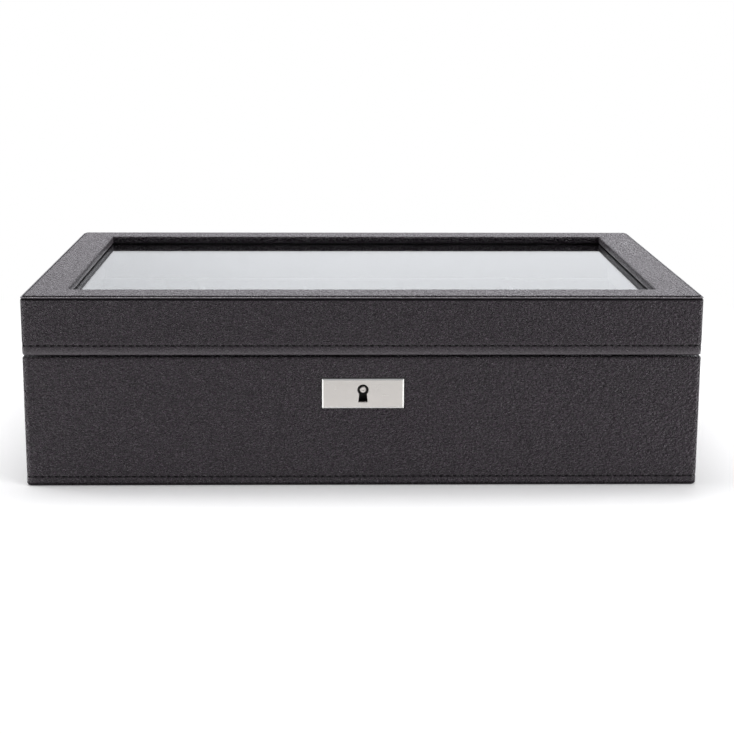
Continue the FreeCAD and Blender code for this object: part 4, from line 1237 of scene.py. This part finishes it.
def stuffed(mesh, sizes, seam):
    """The cover swelled by its stuffing between its two seams, at its real size."""
    cover = bpy.data.objects.new("cover", mesh)
    scene = bpy.context.scene
    scene.collection.objects.link(cover)
    start = [vert.co.copy() for vert in mesh.vertices]
    held = cover.vertex_groups.new(name="held")
    near = sizes.voxel * sizes.enlarge * 0.8
    at_seam = [vert.index for vert in mesh.vertices if abs(abs(vert.co.x) - seam * sizes.enlarge) < near]
    held.add(at_seam, 0.9, "REPLACE")
    swelled = start
    cloth = cover.modifiers.new("stuffing", "CLOTH")
    cloth.settings.quality = 6
    cloth.settings.use_pressure = True
    cloth.settings.uniform_pressure_force = sizes.pressure
    cloth.settings.effector_weights.gravity = 0.0
    cloth.settings.vertex_group_mass = "held"
    cloth.settings.tension_stiffness = 12.0
    cloth.settings.compression_stiffness = 12.0
    cloth.settings.bending_stiffness = 0.6
    cloth.point_cache.frame_start = 1
    cloth.point_cache.frame_end = sizes.frames
    for step in range(1, sizes.frames + 1):
        scene.frame_set(step)
    depsgraph = bpy.context.evaluated_depsgraph_get()
    swelled = [vert.co.copy() for vert in cover.evaluated_get(depsgraph).data.vertices]
    scene.frame_set(1)
    limit = sizes.cap * sizes.enlarge
    for vert, before, after in zip(mesh.vertices, start, swelled):
        move = after - before
        if move.length > limit:
            move *= limit / move.length
        vert.co = (before + move) / sizes.enlarge
    cover.modifiers.clear()
    bpy.data.objects.remove(cover)
    return mesh


def smoothed(mesh):
    """A mesh with one subdivision."""

    def subdivide(carrier):
        modifier = carrier.modifiers.new("fine", "SUBSURF")
        modifier.levels = modifier.render_levels = 1

    return evaluated(mesh, subdivide)


def seam_loop(mesh, place):
    """Points where a mesh crosses the plane x = place, in order."""
    shape = bmesh.new()
    shape.from_mesh(mesh)
    whole = [*shape.verts, *shape.edges, *shape.faces]
    cut = bmesh.ops.bisect_plane(shape, geom=whole, plane_co=(place, 0.0, 0.0), plane_no=(1.0, 0.0, 0.0))
    points = [item.co.copy() for item in cut["geom_cut"] if isinstance(item, bmesh.types.BMVert)]
    shape.free()
    middle = sum(points, Vector()) / len(points)
    points.sort(key=lambda point: math.atan2(point.z - middle.z, point.y - middle.y))
    return points


def even_loop(points, count):
    """Evenly spaced points round a closed line, smoothed."""
    lengths = [(points[step] - points[step - 1]).length for step in range(len(points))]
    total = sum(lengths)
    result, run, step = [], 0.0, 1
    for number in range(count):
        target = total * number / count
        while run + lengths[step % len(points)] < target:
            run += lengths[step % len(points)]
            step += 1
        share = (target - run) / max(lengths[step % len(points)], 1e-9)
        result.append(points[(step - 1) % len(points)].lerp(points[step % len(points)], share))
    return [
        (result[number - 1] + result[number] * 2 + result[(number + 1) % count]) / 4
        for number in range(count)]


def tube_mesh(points, radius, sides=8):
    """A closed tube along a closed line."""
    shape = bmesh.new()
    count = len(points)
    rings = []
    for step, point in enumerate(points):
        along = (points[(step + 1) % count] - points[step - 1]).normalized()
        side = Vector((1.0, 0.0, 0.0))
        up = along.cross(side).normalized()
        rings.append([
            shape.verts.new(point + radius * (math.cos(angle) * side + math.sin(angle) * up))
            for angle in (math.tau * number / sides for number in range(sides))])
    for ring, following in zip(rings, rings[1:] + rings[:1]):
        join_loops(shape, ring, following)
    bmesh.ops.recalc_face_normals(shape, faces=shape.faces)
    return mesh_from(shape)


class WATCHBOX_OT_cushions(bpy.types.Operator):
    """Sew and stuff one cushion, and set ten of them out with small differences"""

    bl_idname = "watchbox.cushions"
    bl_label = "Cushions"

    def execute(self, context):
        sizes = context.scene.box_cushions
        start, half = cushion_start(sizes)
        seam = half.x - sizes.seam
        master = smoothed(stuffed(start, sizes, seam))
        loops = {side: even_loop(seam_loop(master, side * seam), count=96) for side in (-1, 1)}
        for number, node in enumerate(CUSHIONS):
            chance = random.Random(number)
            drift = Vector([chance.uniform(-9.0, 9.0) for _ in range(3)])
            turned = chance.choice((-1.0, 1.0))
            low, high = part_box(node)
            centre = (low + high) / 2

            def settled(point, normal, amount):
                lump = noise.noise(point * sizes.lumps + drift) * sizes.lump
                lump += noise.noise(point * sizes.small_lumps - drift) * sizes.small_lump
                pull = math.exp(-((abs(point.x) - seam) / sizes.pull_reach) ** 2)
                around = math.atan2(point.z, point.y) * sizes.puckers + drift.x
                pucker = pull * (math.sin(around) * sizes.pucker - sizes.pull)
                moved = point + normal * (lump + pucker) * amount
                moved.z = max(moved.z, -half.z)
                return Vector((moved.x * turned, moved.y * turned, moved.z)) + centre

            mesh = master.copy()
            places = [settled(vert.co, vert.normal, 1.0) for vert in master.vertices]
            mesh.vertices.foreach_set("co", [value for place in places for value in place])
            mesh.update()
            mesh.shade_smooth()
            cushion = new_piece(f"{node}_stuffed", mesh, node, "cushion", [node])
            for side, loop in loops.items():
                line = [settled(point, Vector((0.0, point.y, point.z)).normalized(), 0.6) for point in loop]
                piping = tube_mesh(line, sizes.piping)
                new_piece(f"{node}_piping_{side + 2}", piping, node, "cushion")
        return {"FINISHED"}


class WATCHBOX_OT_stage(bpy.types.Operator):
    """Set the floor, the backdrop, the lamps and the camera"""

    bl_idname = "watchbox.stage"
    bl_label = "Stage"

    def execute(self, context):
        scene, stage = context.scene, context.scene.box_stage
        scene.view_settings.view_transform = "Standard"
        # The lamps neither mirror in the glass nor are blocked by it, so the inside of the box is lit
        clear = bpy.data.collections.new("glass_without_lamps")
        clear.objects.link(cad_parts["lid_glass"])
        clear.collection_objects[0].light_linking.link_state = "EXCLUDE"
        self.lay_floor(scene, stage)
        self.light_world(scene, stage)
        for lamp in LAMPS:
            self.hang_lamp(scene, lamp, getattr(stage, lamp.name), clear)
        self.set_camera(scene, stage)
        return {"FINISHED"}

    def lay_floor(self, scene, stage):
        """A pale floor that takes the shadow of the box and fades to plain white."""
        finish, graph = new_finish("studio_floor")
        place = object_place(graph)
        far = graph.add("ShaderNodeVectorMath", {"operation": "LENGTH"}, {0: place}, "Value")
        path = graph.add("ShaderNodeLightPath")
        mirrored = greater(graph, path.beside("Is Glossy Ray"), path.beside("Is Transmission Ray"))
        seen = greater(graph, path.beside("Is Camera Ray"), mirrored)
        lit = graph.add("ShaderNodeBsdfDiffuse", {}, {"Color": opaque(stage.floor)})
        glow = graph.add("ShaderNodeEmission", {}, {"Strength": seen * stage.floor_glow})
        near = graph.add("ShaderNodeAddShader", {}, {0: lit, 1: glow})
        white = graph.add("ShaderNodeEmission", {}, {"Strength": seen + (1 - seen) * stage.ambient})
        away = spread(graph, far, stage.fade_near, stage.fade_far)
        surface = graph.add("ShaderNodeMixShader", {}, {0: away, 1: near, 2: white})
        graph.add("ShaderNodeOutputMaterial", {}, {"Surface": surface})
        shape = bmesh.new()
        bmesh.ops.create_grid(shape, x_segments=4, y_segments=4, size=stage.floor_size)
        mesh = mesh_from(shape)
        mesh.materials.append(finish)
        floor = bpy.data.objects.new("floor", mesh)
        scene.collection.objects.link(floor)

    def light_world(self, scene, stage):
        """A room that is white to the camera, and in gloss bright behind the box and dim in front."""
        world = bpy.data.worlds.new("studio")
        world.use_nodes = True
        world.node_tree.nodes.clear()
        graph = Graph(world.node_tree)
        path = graph.add("ShaderNodeLightPath")
        towards = graph.add("ShaderNodeTexCoord", output="Generated")
        direction = graph.add("ShaderNodeSeparateXYZ", {}, {"Vector": towards})
        across = direction.beside("X")
        # The room is open behind the box and far out at the sides, more so at the right
        behind = spread(graph, direction.beside("Y"), -0.3, 0.3)
        aside = spread(graph, across, 0.45, 0.74) + spread(graph, across, -0.74, -0.45, 0.4, 0.0)
        open_room = behind + (1 - behind) * aside
        # Both the open room and the room in front grow dimmer to the left
        falling = spread(graph, across, -0.24, 0.02, 0.7, 1.0)
        front = stage.front_gloss * spread(graph, across, -0.45, 0.1, 0.3, 1.05)
        wall = front + (falling * stage.back_gloss - front) * open_room
        # Overhead the room is an even grey
        low = spread(graph, direction.beside("Z"), 0.35, 0.8, 1.0, 0.0)
        room = stage.top_gloss + (wall - stage.top_gloss) * low
        clear = greater(graph, path.beside("Is Camera Ray"), path.beside("Is Transmission Ray"))
        gloss = path.beside("Is Glossy Ray")
        strength = clear + (1 - clear) * (gloss * room + (1 - gloss) * stage.ambient)
        tint = blend(graph, gloss, (1.0, 1.0, 1.0, 1.0), opaque(stage.sky))
        sky = graph.add("ShaderNodeBackground", {}, {"Color": tint, "Strength": strength})
        graph.add("ShaderNodeOutputWorld", {}, {"Surface": sky})
        scene.world = world

    def hang_lamp(self, scene, lamp, power, clear):
        """A soft lamp that points at its target and leaves the clear pieces alone."""
        light = bpy.data.lights.new(lamp.name, "AREA")
        light.shape = "RECTANGLE"
        light.size, light.size_y = lamp.size
        light.energy = power
        holder = bpy.data.objects.new(lamp.name, light)
        holder.location = lamp.place
        ahead = Vector(lamp.target) - Vector(lamp.place)
        holder.rotation_euler = ahead.to_track_quat("-Z", "Y").to_euler()
        holder.light_linking.receiver_collection = clear
        holder.light_linking.blocker_collection = clear
        scene.collection.objects.link(holder)

    def set_camera(self, scene, stage):
        """The camera at the photograph's viewing angle."""
        camera = bpy.data.cameras.new("camera")
        camera.sensor_width = SENSOR_MM
        camera.lens = stage.focal * SENSOR_MM / PHOTO_PIXELS
        holder = bpy.data.objects.new("camera", camera)
        level = math.cos(stage.tilt)
        ahead = Vector((
            math.sin(stage.heading) * level, math.cos(stage.heading) * level, -math.sin(stage.tilt)))
        right = Vector((math.cos(stage.heading), -math.sin(stage.heading), 0.0))
        up = right.cross(ahead)
        across = math.cos(stage.roll) * right + math.sin(stage.roll) * up
        upright = math.cos(stage.roll) * up - math.sin(stage.roll) * right
        turn = Matrix((across, upright, -ahead)).transposed().to_4x4()
        holder.matrix_world = Matrix.Translation(stage.camera) @ turn
        scene.collection.objects.link(holder)
        scene.camera = holder


OPERATORS = (
    WATCHBOX_OT_base_cover, WATCHBOX_OT_lid_covers, WATCHBOX_OT_stitches,
    WATCHBOX_OT_hinges, WATCHBOX_OT_lock, WATCHBOX_OT_glass,
    WATCHBOX_OT_lining, WATCHBOX_OT_cushions, WATCHBOX_OT_stage)


class WATCHBOX_PT_panel(bpy.types.Panel):
    """Lists the pieces of the watch box"""

    bl_idname = "WATCHBOX_PT_panel"
    bl_label = "Watch Box"
    bl_space_type = "VIEW_3D"
    bl_region_type = "UI"
    bl_category = "Watch Box"

    def draw(self, context):
        for operator in OPERATORS:
            self.layout.operator(operator.bl_idname)


SETTINGS = {
    "box_cover": CoverSizes, "box_stitches": StitchSizes, "box_screws": ScrewSizes, "box_lock": LockSizes,
    "box_cushions": CushionSizes, "box_colours": FinishColours, "box_stage": StageSettings}
CLASSES = (*SETTINGS.values(), *OPERATORS, WATCHBOX_PT_panel)


def register():
    """Register the classes and hang the settings on the scene."""
    for item in CLASSES:
        bpy.utils.register_class(item)
    for name, group in SETTINGS.items():
        setattr(bpy.types.Scene, name, PointerProperty(type=group))


def unregister():
    """Take the settings and the classes away again."""
    for name in SETTINGS:
        delattr(bpy.types.Scene, name)
    for item in reversed(CLASSES):
        bpy.utils.unregister_class(item)


def main():
    """Make every piece and the stage."""
    register()
    for operator in OPERATORS:
        package, name = operator.bl_idname.split(".")
        getattr(getattr(bpy.ops, package), name)()


if __name__ == "__main__":
    main()
